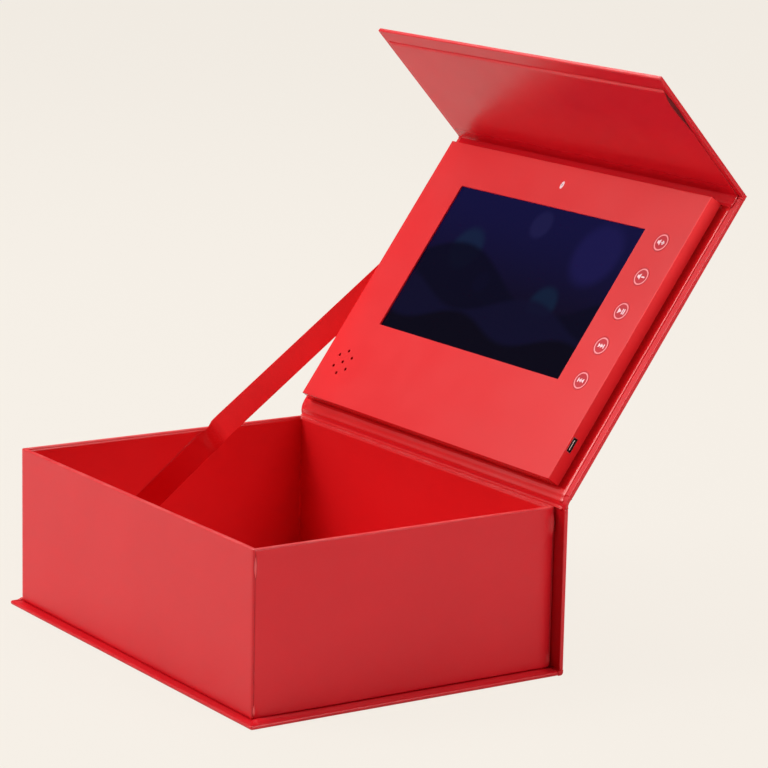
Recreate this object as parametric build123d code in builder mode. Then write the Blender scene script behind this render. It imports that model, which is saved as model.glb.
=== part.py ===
from build123d import *
import os
from math import cos, radians, sin, sqrt, tan

# A rigid gift box with a book-style case: base board, spine board, lid board and
# front flap joined by folds of cover paper. A video module sits on the lid's inner
# face. The box stands open, with its lid leaning back on a ribbon stay.
# Millimetres. +X runs along the folds, -Y is the front, +Z is up. The origin is on
# the resting plane, midway along the case's width and the tray's depth.

# ---------------------------------------------------------------- driving sizes
# screen window, and the card borders that make up the rest of the module's face
window_width = 154.0
window_length = 84.0
module_left_border = 29.3
module_right_border = 32.0
module_chin = 47.3
module_brow = 23.3
module_depth = 7.5
module_card = 0.9
module_edge_radius = 0.35
back_card_t = 0.8
card_clearance = 0.15
spacer_t = 5.0

# tray, which takes the module in when the lid is shut
module_left_gap = 0.6
module_right_gap = 0.3
module_back_gap = 0.7
module_front_gap = 2.1
tray_height = 77.5
tray_wall = 2.2
tray_floor = 2.2
tray_corner_radius = 0.8
lining_t = 0.3
lining_below_rim = 1.0

# case boards
board_t = 2.2
base_left_overhang = 3.8
base_right_overhang = 7.6
base_front_overhang = 4.7
lid_left_reach = 1.4
lid_right_reach = 0.7
hinge_gap = 2.6
strip_t = 0.5
lid_clearance = 0.4
flap_clearance = 1.1
flap_tip_clearance = 0.4
lid_open_angle = 125.6
flap_fold_angle = 77.8
liner_t = 0.3
lid_liner_margin = 3.2
flap_liner_margin = 7.4

# magnetic closure
magnet_radius = 6.0
magnet_t = 1.5
steel_disc_t = 1.2
magnet_spacing = 136.0
magnet_from_crease = 38.0
pocket_clearance = 0.1

# ribbon stay
ribbon_width = 13.8
ribbon_t = 0.3
ribbon_wall_gap = 0.05
ribbon_rim_y = 32.0
ribbon_anchor_y = -55.0
ribbon_anchor_height = 9.0
ribbon_lid_reach = 83.2

# screen
panel_side_border = 5.5
panel_end_border = 8.0
panel_frame_height = 2.3
panel_frame_wall = 0.8
panel_frame_back = 0.4
glass_t = 1.1
gasket_t = 0.4
gasket_inset = 1.5
panel_clearance = 0.3
glass_clearance = 0.1

# buttons, in a column up the right-hand border
button_names = ["previous", "next", "play", "volume_down", "volume_up"]
button_drop = 1.1
button_pitch = 19.1
button_radius = 4.85
button_clearance = 0.15
button_flange = 1.15
button_flange_t = 0.8
button_flange_gap = 0.05
button_stem_side = 3.0
button_stem_length = 1.35
button_travel = 0.4
button_overtravel = 0.1
button_board_width = 15.0
button_board_margin = 8.0
button_board_t = 0.8
switch_side = 6.2
switch_height = 3.2

# light sensor, above the window
sensor_left_of_centre = 0.4
sensor_above_window = 12.5
sensor_radius = 1.2
sensor_hole_clearance = 0.1
sensor_foot_radius = 2.0
sensor_foot_height = 1.8
sensor_board_width = 13.0
sensor_board_length = 5.6
sensor_board_t = 0.8

# speaker, in the chin's left-hand corner
speaker_from_side = 17.8
speaker_from_foot = 22.3
speaker_radius = 14.0
speaker_height = 4.6
speaker_rim = 2.5
speaker_wall = 0.8
speaker_cone_t = 0.5
speaker_cup_radius = 7.7
speaker_cup_height = 2.3
speaker_hole_radius = 0.9
speaker_hole_ring = 6.5
speaker_hole_count = 6

# main board, battery and port, in a row along the chin
row_inset = 2.3
cable_channel = 4.7
main_board_width = 70.0
main_board_t = 1.0
main_board_height = 1.65
board_pad_side = 6.0
battery_from_side = 37.1
battery_width = 72.0
battery_below_row = 4.8
battery_t = 4.0
port_rise = 16.3
port_width = 7.6
port_height = 2.8
port_length = 5.6
port_wall = 0.3
port_corner = 0.5
port_slot_clearance = 0.1
tongue_t = 0.6

# leads
lead_width = 1.8
lead_t = 0.8
lead_bend = 2.4
lead_landing = 3.5
lead_groove_gap = 0.2
lead_groove_clearance = 0.1
speaker_lead_inset = 2.2
battery_lead_inset = 6.0
flat_cable_t = 0.25
panel_cable_width = 22.0
panel_cable_inset = 19.7
button_cable_width = 9.0
pocket_gap = 0.3

# ---------------------------------------------------------------- derived places
module_width = module_left_border + window_width + module_right_border
module_length = module_chin + window_length + module_brow
lined_wall = tray_wall + lining_t
tray_width = module_width + module_left_gap + module_right_gap + 2 * lined_wall
tray_depth = module_length + module_back_gap + module_front_gap + 2 * lined_wall
case_width = tray_width + base_left_overhang + base_right_overhang
lid_width = case_width + lid_left_reach + lid_right_reach
base_shift = (lid_left_reach - lid_right_reach) / 2
lid_length = tray_depth + 2 * board_t + flap_clearance

lean = radians(lid_open_angle - 90.0)
fold = radians(flap_fold_angle)
tray_base_z = board_t
rim_z = tray_base_z + tray_height
crease_y = tray_depth / 2 + board_t
crease_z = rim_z + lid_clearance + board_t
flap_length = crease_z - board_t - flap_tip_clearance
base_front_y = -tray_depth / 2 - base_front_overhang
spine_top_z = crease_z - hinge_gap

tray_left = base_shift + base_left_overhang - case_width / 2
tray_shift = tray_left + tray_width / 2
inner_tray_width = tray_width - 2 * tray_wall
inner_tray_depth = tray_depth - 2 * tray_wall
magnet_x = magnet_spacing / 2
magnet_z = crease_z - magnet_from_crease

# places on the lid: x along the fold, s up from the lid's crease, h off its inner face
lid_up = Vector(0, sin(lean), cos(lean))
lid_normal = Vector(0, -cos(lean), sin(lean))
lid_outer = Plane(origin=(0, crease_y, crease_z), x_dir=(1, 0, 0), z_dir=lid_normal)
lid_inner = lid_outer.offset(board_t)
flap_normal = lid_normal * cos(fold) - lid_up * sin(fold)
flap_origin = lid_outer.from_local_coords((0, lid_length, 0))
flap_outer = Plane(origin=flap_origin, x_dir=(1, 0, 0), z_dir=flap_normal)
flap_inner = flap_outer.offset(board_t)

module_foot = board_t + lined_wall + module_back_gap
module_left = tray_left + lined_wall + module_left_gap
module_right = module_left + module_width
module_centre = ((module_left + module_right) / 2, module_foot + module_length / 2)
cavity_width = module_width - 2 * module_card
cavity_length = module_length - 2 * module_card
cavity_floor = liner_t + back_card_t
cavity_top = module_depth - module_card
cavity_right = module_right - module_card

window_left = module_left + module_left_border
window_right = window_left + window_width
window_foot = module_foot + module_chin
window_centre = ((window_left + window_right) / 2, window_foot + window_length / 2)
panel_width = window_width + 2 * panel_side_border
panel_length = window_length + 2 * panel_end_border
panel_foot = window_foot - panel_end_border
panel_right = window_right + panel_side_border

button_column = (window_right + module_right) / 2
button_first = window_centre[1] - button_drop - 2 * button_pitch
button_board_length = 4 * button_pitch + 2 * button_board_margin
button_board_foot = button_first - button_board_margin
button_board_centre = (button_column, button_board_foot + button_board_length / 2)
button_places = [(button_column, button_first + i * button_pitch) for i in range(5)]
sensor_place = (
    window_centre[0] - sensor_left_of_centre,
    window_foot + window_length + sensor_above_window,
)
speaker_place = (module_left + speaker_from_side, module_foot + speaker_from_foot)

row_foot = module_foot + module_card + row_inset
row_top = panel_foot - cable_channel
main_board_right = cavity_right - card_clearance
main_board_left = main_board_right - main_board_width
main_board_centre = ((main_board_left + main_board_right) / 2, (row_foot + row_top) / 2)
main_board_length = row_top - row_foot
main_board_floor = cavity_floor + main_board_height
main_board_face = main_board_floor + main_board_t
sensor_board_floor = main_board_face - sensor_board_t
battery_left = module_left + battery_from_side
battery_right = battery_left + battery_width
battery_length = main_board_length - battery_below_row
battery_centre = ((battery_left + battery_right) / 2, row_foot + battery_length / 2)

# middle lines of the leads, as (x, s) points
landing_x = main_board_left + lead_landing
landing_s = row_top - lead_landing
speaker_lead_s = row_top - speaker_lead_inset
speaker_lead_drop = speaker_lead_s - lead_width / 2 - speaker_place[1]
speaker_lead_x = speaker_place[0] + sqrt(
    (speaker_radius + pocket_clearance) ** 2 - speaker_lead_drop**2
)
battery_lead_s = row_foot + battery_length - battery_lead_inset
sensor_lead_x = sensor_place[0] + sensor_board_width / 2 - lead_landing
sensor_column = (button_column + button_board_width / 2 + cavity_right) / 2
lead_routes = {
    "battery_leads": [(battery_right, battery_lead_s), (landing_x, battery_lead_s)],
    "speaker_leads": [(speaker_lead_x, speaker_lead_s), (landing_x, speaker_lead_s)],
    "sensor_leads": [
        (sensor_lead_x, sensor_place[1]),
        (sensor_column, sensor_place[1]),
        (sensor_column, landing_s),
    ],
}
port_plane = Plane(
    origin=lid_inner.from_local_coords(
        (module_right, row_foot + port_rise, cavity_top - port_height / 2)
    ),
    x_dir=lid_up,
    z_dir=(-1, 0, 0),
)

os.makedirs("parts", exist_ok=True)


def keep(piece, name):
    """Labels a finished piece and writes it as its own file."""
    piece.part.label = name
    export_step(piece.part, f"parts/{name}.step")


def across(plane, s, h):
    """The (y, z) of the point at s up the plane and h above it, at x = 0."""
    point = plane.from_local_coords((0, s, h))
    return (point.Y, point.Z)


def band(points, width):
    """Outline of a strip of even width along a bent centre line in one plane."""
    left = []
    right = []
    for i, point in enumerate(points):
        here = Vector(*point)
        before = Vector(*points[max(i - 1, 0)])
        after = Vector(*points[min(i + 1, len(points) - 1)])
        entering = (here - before).normalized() if i > 0 else (after - here).normalized()
        leaving = (after - here).normalized() if i < len(points) - 1 else entering
        along = (entering + leaving).normalized()
        side = Vector(-along.Y, along.X) * (width / 2 / along.dot(entering))
        left.append(here + side)
        right.append(here - side)
    return left + right[::-1]


# ---------------------------------------------------------------- case boards
with BuildPart() as base_board:
    with BuildSketch(Plane.XY):
        with Locations((base_shift, (base_front_y + crease_y - hinge_gap) / 2)):
            Rectangle(case_width, crease_y - hinge_gap - base_front_y)
    extrude(amount=board_t)
keep(base_board, "base_board")

with BuildPart() as spine_board:
    with BuildSketch(Plane.XY.offset(hinge_gap)):
        with Locations((base_shift, crease_y - board_t / 2)):
            Rectangle(case_width, board_t)
    extrude(amount=spine_top_z - hinge_gap)
keep(spine_board, "spine_board")

with BuildPart() as base_hinge_strip:
    with BuildSketch(Plane.YZ.offset(base_shift)):
        with BuildLine():
            Polyline(
                (crease_y - hinge_gap, 0),
                (crease_y, 0),
                (crease_y, hinge_gap),
                (crease_y - strip_t, hinge_gap),
                (crease_y - strip_t, strip_t),
                (crease_y - hinge_gap, strip_t),
                close=True,
            )
        make_face()
    extrude(amount=case_width / 2, both=True)
keep(base_hinge_strip, "base_hinge_strip")

with BuildPart() as lid_board:
    with BuildSketch(lid_outer):
        with Locations((0, lid_length / 2)):
            Rectangle(lid_width, lid_length - 2 * hinge_gap)
    extrude(amount=board_t)
keep(lid_board, "lid_board")

with BuildPart() as flap_board:
    with BuildSketch(flap_outer):
        with Locations((0, (flap_length + hinge_gap) / 2)):
            Rectangle(lid_width, flap_length - hinge_gap)
    extrude(amount=board_t)
    with BuildSketch(flap_inner):
        with Locations((-magnet_x, magnet_from_crease), (magnet_x, magnet_from_crease)):
            Circle(magnet_radius + pocket_clearance)
    extrude(amount=-magnet_t, mode=Mode.SUBTRACT)
keep(flap_board, "flap_board")

with BuildPart() as flap_magnets:
    with BuildSketch(flap_inner):
        with Locations((-magnet_x, magnet_from_crease), (magnet_x, magnet_from_crease)):
            Circle(magnet_radius)
    extrude(amount=-magnet_t)
keep(flap_magnets, "flap_magnets")


# ---------------------------------------------------------------- paper folds
def spine_side(h):
    return (crease_y - h, spine_top_z)


def lid_fold(h):
    return across(lid_outer, -h * tan(lean / 2), h)


def lid_foot(h):
    return across(lid_outer, hinge_gap, h)


def lid_head(h):
    return across(lid_outer, lid_length - hinge_gap, h)


def flap_fold(h):
    return across(lid_outer, lid_length - h * tan(fold / 2), h)


def flap_foot(h):
    return across(flap_outer, hinge_gap, h)


def folded_layer(before, crease, after, low, high):
    """Corners of one paper layer, between two depths, over a fold of the case."""
    outer_side = [before(low), crease(low), after(low)]
    inner_side = [after(high), crease(high), before(high)]
    return outer_side + inner_side


folds = {
    "lid": (case_width, base_shift, spine_side, lid_fold, lid_foot),
    "flap": (lid_width, 0, lid_head, flap_fold, flap_foot),
}
layers = {"strip": (0, strip_t), "liner": (board_t - strip_t, board_t)}
for fold_name, (fold_width, fold_shift, before, crease, after) in folds.items():
    for layer_name, (low, high) in layers.items():
        with BuildPart() as fold_piece:
            with BuildSketch(Plane.YZ.offset(fold_shift)):
                with BuildLine():
                    Polyline(*folded_layer(before, crease, after, low, high), close=True)
                make_face()
            extrude(amount=fold_width / 2, both=True)
        keep(fold_piece, f"{fold_name}_hinge_{layer_name}")

with BuildPart() as lid_liner:
    with BuildSketch(lid_inner):
        with Locations((0, lid_length / 2)):
            Rectangle(lid_width - 2 * lid_liner_margin, lid_length - 2 * hinge_gap)
    extrude(amount=liner_t)
keep(lid_liner, "lid_liner")

with BuildPart() as flap_liner:
    with BuildSketch(flap_inner):
        with Locations((0, (hinge_gap + flap_length - flap_liner_margin) / 2)):
            Rectangle(
                lid_width - 2 * lid_liner_margin,
                flap_length - flap_liner_margin - hinge_gap,
            )
    extrude(amount=liner_t)
keep(flap_liner, "flap_liner")

# ---------------------------------------------------------------- tray
with BuildPart() as tray:
    with BuildSketch(Plane.XY.offset(tray_base_z)):
        with Locations((tray_shift, 0)):
            RectangleRounded(tray_width, tray_depth, tray_corner_radius)
    extrude(amount=tray_height)
    with BuildSketch(Plane.XY.offset(rim_z)):
        with Locations((tray_shift, 0)):
            Rectangle(inner_tray_width, inner_tray_depth)
    extrude(amount=tray_floor - tray_height, mode=Mode.SUBTRACT)
    with BuildSketch(Plane.XZ.offset(inner_tray_depth / 2)):
        with Locations((-magnet_x, magnet_z), (magnet_x, magnet_z)):
            Circle(magnet_radius + pocket_clearance)
    extrude(amount=steel_disc_t, mode=Mode.SUBTRACT)
keep(tray, "tray")

with BuildPart() as tray_lining:
    with BuildSketch(Plane.XY.offset(tray_base_z + tray_floor)):
        with Locations((tray_shift, 0)):
            Rectangle(inner_tray_width, inner_tray_depth)
    extrude(amount=tray_height - tray_floor - lining_below_rim)
    with BuildSketch(Plane.XY.offset(rim_z)):
        with Locations((tray_shift, 0)):
            Rectangle(inner_tray_width - 2 * lining_t, inner_tray_depth - 2 * lining_t)
    extrude(amount=tray_floor + lining_t - tray_height, mode=Mode.SUBTRACT)
keep(tray_lining, "tray_lining")

with BuildPart() as tray_steel_discs:
    with BuildSketch(Plane.XZ.offset(inner_tray_depth / 2)):
        with Locations((-magnet_x, magnet_z), (magnet_x, magnet_z)):
            Circle(magnet_radius)
    extrude(amount=steel_disc_t)
keep(tray_steel_discs, "tray_steel_discs")

# ---------------------------------------------------------------- ribbon stay
ribbon_left_x = tray_shift - inner_tray_width / 2 + lining_t + ribbon_wall_gap
ribbon_top = Vector(*across(lid_inner, ribbon_lid_reach, 0))
ribbon_rim = Vector(ribbon_rim_y, rim_z)
ribbon_past_lid = ribbon_top + (ribbon_top - ribbon_rim).normalized() * ribbon_width * 2
ribbon_route = [
    (ribbon_anchor_y, tray_base_z + ribbon_anchor_height),
    (ribbon_rim_y, rim_z),
    (ribbon_past_lid.X, ribbon_past_lid.Y),
]
with BuildPart() as ribbon_stay:
    with BuildSketch(Plane.YZ.offset(ribbon_left_x)):
        with BuildLine():
            Polyline(*band(ribbon_route, ribbon_width), close=True)
        make_face()
    extrude(amount=ribbon_t)
    split(bisect_by=lid_inner.offset(liner_t), keep=Keep.TOP)
keep(ribbon_stay, "ribbon_stay")

# ---------------------------------------------------------------- module housing
with BuildPart() as module_housing:
    with BuildSketch(lid_inner.offset(liner_t)):
        with Locations(module_centre):
            Rectangle(module_width, module_length)
    extrude(amount=module_depth - liner_t)
    front_edges = module_housing.edges().filter_by_position(
        Axis(lid_inner.origin, lid_normal), module_depth - 0.01, module_depth + 0.01
    )
    fillet(front_edges, module_edge_radius)
    with BuildSketch(lid_inner.offset(liner_t)):
        with Locations(module_centre):
            Rectangle(cavity_width, cavity_length)
    extrude(amount=cavity_top - liner_t, mode=Mode.SUBTRACT)
    with BuildSketch(lid_inner.offset(module_depth)):
        with Locations(window_centre):
            Rectangle(window_width, window_length)
        with Locations(*button_places):
            Circle(button_radius + button_clearance)
        with Locations(sensor_place):
            Circle(sensor_radius + sensor_hole_clearance)
        with Locations(speaker_place):
            Circle(speaker_hole_radius)
            with PolarLocations(speaker_hole_ring, speaker_hole_count, start_angle=90):
                Circle(speaker_hole_radius)
    extrude(amount=-module_card, mode=Mode.SUBTRACT)
    with BuildSketch(port_plane):
        RectangleRounded(
            port_width + 2 * port_slot_clearance,
            port_height + 2 * port_slot_clearance,
            port_corner + port_slot_clearance,
        )
    extrude(amount=module_card, mode=Mode.SUBTRACT)
keep(module_housing, "module_housing")

with BuildPart() as module_back_card:
    with BuildSketch(lid_inner.offset(liner_t)):
        with Locations(module_centre):
            Rectangle(cavity_width - 2 * card_clearance, cavity_length - 2 * card_clearance)
    extrude(amount=back_card_t)
keep(module_back_card, "module_back_card")

# ---------------------------------------------------------------- screen stack
glass_top = cavity_top - gasket_t
glass_floor = glass_top - glass_t
panel_floor = glass_floor - panel_frame_height

with BuildPart() as screen_frame:
    with BuildSketch(lid_inner.offset(panel_floor)):
        with Locations(window_centre):
            Rectangle(panel_width, panel_length)
    extrude(amount=panel_frame_height + glass_t)
    with BuildSketch(lid_inner.offset(panel_floor + panel_frame_back)):
        with Locations(window_centre):
            Rectangle(panel_width - 2 * panel_frame_wall, panel_length - 2 * panel_frame_wall)
    extrude(amount=module_depth, mode=Mode.SUBTRACT)
keep(screen_frame, "screen_frame")

glass_width = panel_width - 2 * panel_frame_wall - 2 * glass_clearance
glass_length = panel_length - 2 * panel_frame_wall - 2 * glass_clearance
with BuildPart() as backlight_panel:
    with BuildSketch(lid_inner.offset(panel_floor + panel_frame_back)):
        with Locations(window_centre):
            Rectangle(glass_width, glass_length)
    extrude(amount=panel_frame_height - panel_frame_back)
keep(backlight_panel, "backlight_panel")

with BuildPart() as screen_glass:
    with BuildSketch(lid_inner.offset(glass_floor)):
        with Locations(window_centre):
            Rectangle(glass_width, glass_length)
    extrude(amount=glass_t)
keep(screen_glass, "screen_glass")

with BuildPart() as window_gasket:
    with BuildSketch(lid_inner.offset(glass_top)):
        with Locations(window_centre):
            Rectangle(panel_width, panel_length)
            Rectangle(
                window_width + 2 * gasket_inset,
                window_length + 2 * gasket_inset,
                mode=Mode.SUBTRACT,
            )
    extrude(amount=gasket_t)
keep(window_gasket, "window_gasket")

# ---------------------------------------------------------------- spacer board
def lead_line(route):
    """Middle line of a lead, straight between its points and bent at the others."""
    if len(route) > 2:
        FilletPolyline(*route, radius=lead_bend)
    else:
        Line(*route)


with BuildPart() as spacer_board:
    with BuildSketch(lid_inner.offset(cavity_floor)):
        with Locations(module_centre):
            Rectangle(cavity_width - 2 * card_clearance, cavity_length - 2 * card_clearance)
        with Locations(button_board_centre):
            Rectangle(
                button_board_width + 2 * pocket_gap,
                button_board_length + 2 * pocket_gap,
                mode=Mode.SUBTRACT,
            )
        with Locations(speaker_place):
            Circle(speaker_radius + pocket_gap, mode=Mode.SUBTRACT)
        with Locations(battery_centre):
            Rectangle(
                battery_width + 2 * pocket_gap,
                battery_length + 2 * pocket_gap,
                mode=Mode.SUBTRACT,
            )
        with Locations(main_board_centre):
            Rectangle(
                main_board_width + 2 * pocket_gap,
                main_board_length + 2 * pocket_gap,
                mode=Mode.SUBTRACT,
            )
        with Locations((panel_right - panel_cable_inset, (row_top + panel_foot) / 2)):
            Rectangle(
                panel_cable_width + 2 * pocket_gap,
                panel_foot - row_top,
                mode=Mode.SUBTRACT,
            )
        with Locations((button_column, (row_top + button_board_foot) / 2)):
            Rectangle(
                button_cable_width + 2 * pocket_gap,
                button_board_foot - row_top,
                mode=Mode.SUBTRACT,
            )
    extrude(amount=spacer_t)
    with BuildSketch(lid_inner.offset(panel_floor)):
        with Locations(window_centre):
            Rectangle(panel_width + 2 * panel_clearance, panel_length + 2 * panel_clearance)
    extrude(amount=spacer_t, mode=Mode.SUBTRACT)
    with BuildSketch(lid_inner.offset(sensor_board_floor)):
        with Locations(sensor_place):
            Rectangle(sensor_board_width + 2 * pocket_gap, sensor_board_length + 2 * pocket_gap)
    extrude(amount=spacer_t, mode=Mode.SUBTRACT)
    for route in lead_routes.values():
        with BuildSketch(lid_inner.offset(main_board_face - lead_groove_clearance)):
            with BuildLine():
                lead_line(route)
            trace(line_width=lead_width + 2 * lead_groove_gap)
        extrude(amount=spacer_t, mode=Mode.SUBTRACT)
keep(spacer_board, "spacer_board")

# ---------------------------------------------------------------- buttons
button_board_top = cavity_floor + button_board_t
switch_top = button_board_top + switch_height
flange_top = cavity_top - button_flange_gap
flange_bottom = flange_top - button_flange_t
stem_tip = flange_bottom - button_stem_length
well_floor = stem_tip - button_travel - button_overtravel
well_side = button_stem_side + 2 * button_clearance

with BuildPart() as button_board:
    with BuildSketch(lid_inner.offset(cavity_floor)):
        with Locations(button_board_centre):
            RectangleRounded(button_board_width, button_board_length, 1.0)
    extrude(amount=button_board_t)
keep(button_board, "button_board")

with BuildPart() as tact_switches:
    with BuildSketch(lid_inner.offset(button_board_top)):
        with Locations(*button_places):
            Rectangle(switch_side, switch_side)
    extrude(amount=switch_height)
    with BuildSketch(lid_inner.offset(switch_top)):
        with Locations(*button_places):
            Rectangle(well_side, well_side)
    extrude(amount=well_floor - switch_top, mode=Mode.SUBTRACT)
keep(tact_switches, "tact_switches")

for button_name, place in zip(button_names, button_places):
    with BuildPart() as button_cap:
        with BuildSketch(lid_inner.offset(flange_bottom)):
            with Locations(place):
                Circle(button_radius + button_flange)
        extrude(amount=button_flange_t)
        with BuildSketch(lid_inner.offset(flange_top)):
            with Locations(place):
                Circle(button_radius)
        extrude(amount=module_depth - flange_top)
        with BuildSketch(lid_inner.offset(stem_tip)):
            with Locations(place):
                Rectangle(button_stem_side, button_stem_side)
        extrude(amount=button_stem_length)
    keep(button_cap, f"{button_name}_button")

# ---------------------------------------------------------------- light sensor
with BuildPart() as sensor_board:
    with BuildSketch(lid_inner.offset(sensor_board_floor)):
        with Locations(sensor_place):
            Rectangle(sensor_board_width, sensor_board_length)
    extrude(amount=sensor_board_t)
keep(sensor_board, "sensor_board")

with BuildPart() as light_sensor:
    with BuildSketch(lid_inner.offset(main_board_face)):
        with Locations(sensor_place):
            Circle(sensor_foot_radius)
    extrude(amount=sensor_foot_height)
    with BuildSketch(lid_inner.offset(main_board_face + sensor_foot_height)):
        with Locations(sensor_place):
            Circle(sensor_radius)
    extrude(amount=module_depth - main_board_face - sensor_foot_height)
keep(light_sensor, "light_sensor")

# ---------------------------------------------------------------- speaker
speaker_top = cavity_floor + speaker_height
speaker_cone_radius = speaker_radius - speaker_rim
speaker_centre = lid_inner.from_local_coords((*speaker_place, cavity_floor))
speaker_section = Plane(origin=speaker_centre, x_dir=(1, 0, 0), z_dir=-lid_up)
speaker_axis = Axis(speaker_centre, lid_normal)
cone_edge_h = speaker_height - speaker_wall

with BuildPart() as speaker_frame:
    with BuildSketch(speaker_section):
        with BuildLine():
            Polyline(
                (0, 0),
                (speaker_cup_radius, 0),
                (speaker_cup_radius, speaker_cup_height - speaker_wall),
                (speaker_radius, cone_edge_h - speaker_wall),
                (speaker_radius, speaker_height),
                (speaker_cone_radius, speaker_height),
                (speaker_cone_radius, cone_edge_h),
                (speaker_cup_radius - speaker_wall, speaker_cup_height),
                (speaker_cup_radius - speaker_wall, speaker_wall),
                (0, speaker_wall),
                close=True,
            )
        make_face()
    revolve(axis=speaker_axis)
keep(speaker_frame, "speaker_frame")

with BuildPart() as speaker_magnet:
    with BuildSketch(lid_inner.offset(cavity_floor + speaker_wall)):
        with Locations(speaker_place):
            Circle(speaker_cup_radius - speaker_wall - 2 * pocket_clearance)
    extrude(amount=speaker_cup_height - speaker_wall)
keep(speaker_magnet, "speaker_magnet")

with BuildPart() as speaker_cone:
    with BuildSketch(speaker_section):
        with BuildLine():
            Polyline(
                (0, speaker_cup_height),
                (speaker_cup_radius - speaker_wall, speaker_cup_height),
                (speaker_cone_radius, cone_edge_h),
                (speaker_cone_radius, cone_edge_h + speaker_cone_t),
                (0, speaker_cup_height + speaker_cone_t),
                close=True,
            )
        make_face()
    revolve(axis=speaker_axis)
keep(speaker_cone, "speaker_cone")

with BuildPart() as speaker_gasket:
    with BuildSketch(lid_inner.offset(speaker_top)):
        with Locations(speaker_place):
            Circle(speaker_radius)
            Circle(speaker_cone_radius, mode=Mode.SUBTRACT)
    extrude(amount=cavity_top - speaker_top)
keep(speaker_gasket, "speaker_gasket")

# ---------------------------------------------------------------- main board
pad_columns = [main_board_left + board_pad_side, main_board_right - board_pad_side]
pad_rows = [row_foot + board_pad_side, row_top - board_pad_side]

with BuildPart() as board_pads:
    with BuildSketch(lid_inner.offset(cavity_floor)):
        with Locations(*[(x, s) for x in pad_columns for s in pad_rows]):
            Rectangle(board_pad_side, board_pad_side)
    extrude(amount=main_board_height)
keep(board_pads, "board_pads")

with BuildPart() as main_board:
    with BuildSketch(lid_inner.offset(main_board_floor)):
        with Locations(main_board_centre):
            RectangleRounded(main_board_width, main_board_length, 1.0)
    extrude(amount=main_board_t)
keep(main_board, "main_board")

# each chip: place from the board's left and lower edges, then width, length, height
chips = [
    (20.0, 16.0, 10.0, 10.0, 1.0),
    (36.0, 18.0, 12.0, 8.0, 1.2),
    (50.0, 9.0, 5.0, 4.0, 1.4),
    (36.0, 6.5, 6.0, 4.0, 0.8),
    (8.0, 6.5, 4.0, 4.0, 1.6),
]
with BuildPart() as main_board_chips:
    for chip_x, chip_s, chip_width, chip_length, chip_height in chips:
        with BuildSketch(lid_inner.offset(main_board_face)):
            with Locations((main_board_left + chip_x, row_foot + chip_s)):
                Rectangle(chip_width, chip_length)
        extrude(amount=chip_height)
keep(main_board_chips, "main_board_chips")

with BuildPart() as usb_port:
    with BuildSketch(port_plane):
        RectangleRounded(port_width, port_height, port_corner)
    extrude(amount=port_length)
    with BuildSketch(port_plane):
        RectangleRounded(
            port_width - 2 * port_wall, port_height - 2 * port_wall, port_corner - port_wall
        )
    extrude(amount=port_length - port_wall, mode=Mode.SUBTRACT)
    with BuildSketch(port_plane.offset(port_length)):
        Rectangle(port_width - 6 * port_wall, tongue_t)
    extrude(amount=port_wall * 2 - port_length)
keep(usb_port, "usb_port")

# ---------------------------------------------------------------- battery
with BuildPart() as battery:
    with BuildSketch(lid_inner.offset(cavity_floor)):
        with Locations(battery_centre):
            RectangleRounded(battery_width, battery_length, 1.5)
    extrude(amount=battery_t)
keep(battery, "battery")


# ---------------------------------------------------------------- cables
for leads_name, route in lead_routes.items():
    with BuildPart() as leads:
        with BuildSketch(lid_inner.offset(main_board_face)):
            with BuildLine():
                lead_line(route)
            trace(line_width=lead_width)
        extrude(amount=lead_t)
    keep(leads, leads_name)

with BuildPart() as screen_cable:
    with BuildSketch(lid_inner.offset(main_board_face)):
        with Locations((panel_right - panel_cable_inset, (panel_foot + landing_s) / 2)):
            Rectangle(panel_cable_width, panel_foot - landing_s)
    extrude(amount=flat_cable_t)
keep(screen_cable, "screen_cable")

cable_section = Plane(
    origin=lid_inner.from_local_coords((button_column, 0, 0)), x_dir=lid_up, z_dir=(1, 0, 0)
)
button_cable_low = button_board_top + flat_cable_t / 2
button_cable_high = main_board_face + flat_cable_t / 2
button_cable_route = [
    (button_board_foot + 2.0, button_cable_low),
    (button_board_foot - 0.6, button_cable_low),
    (row_top + 0.8, button_cable_high),
    (landing_s, button_cable_high),
]
with BuildPart() as button_cable:
    with BuildSketch(cable_section):
        with BuildLine():
            Polyline(*band(button_cable_route, flat_cable_t), close=True)
        make_face()
    extrude(amount=button_cable_width / 2, both=True)
keep(button_cable, "button_cable")

print("sensor lead bend:", lead_bend, "mm, lead", lead_width, "x", lead_t, "mm")
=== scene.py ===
"""Red gift box with a video module in its lid, dressed in paper, ribbon and print.

Sizes are in millimetres. A place on a board is (x, s, h): x along the folds, s up
the board from its fold, h off the face that looks into the box. On the base, s runs
back from the middle.
"""

from math import cos, pi, radians, sin, tan

import bpy
from mathutils import Matrix, Vector, noise


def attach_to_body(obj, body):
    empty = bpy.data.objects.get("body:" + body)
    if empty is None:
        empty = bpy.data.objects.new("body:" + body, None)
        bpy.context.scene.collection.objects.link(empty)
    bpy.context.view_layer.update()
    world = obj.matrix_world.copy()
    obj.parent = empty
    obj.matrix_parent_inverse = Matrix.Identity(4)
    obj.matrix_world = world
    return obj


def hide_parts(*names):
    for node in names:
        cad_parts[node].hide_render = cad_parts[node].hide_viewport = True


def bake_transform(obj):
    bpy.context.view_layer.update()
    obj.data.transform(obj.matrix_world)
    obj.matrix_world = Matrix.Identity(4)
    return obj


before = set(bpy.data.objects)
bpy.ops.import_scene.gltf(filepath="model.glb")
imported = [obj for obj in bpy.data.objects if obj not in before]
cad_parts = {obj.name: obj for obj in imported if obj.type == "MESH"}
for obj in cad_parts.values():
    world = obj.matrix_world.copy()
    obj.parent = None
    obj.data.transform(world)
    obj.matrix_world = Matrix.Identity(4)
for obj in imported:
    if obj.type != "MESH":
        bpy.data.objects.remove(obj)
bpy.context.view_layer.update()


# ---------------------------------------------------------------- sizes
MM = 0.001
board = 2.2
hinge_gap = 2.6
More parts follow.
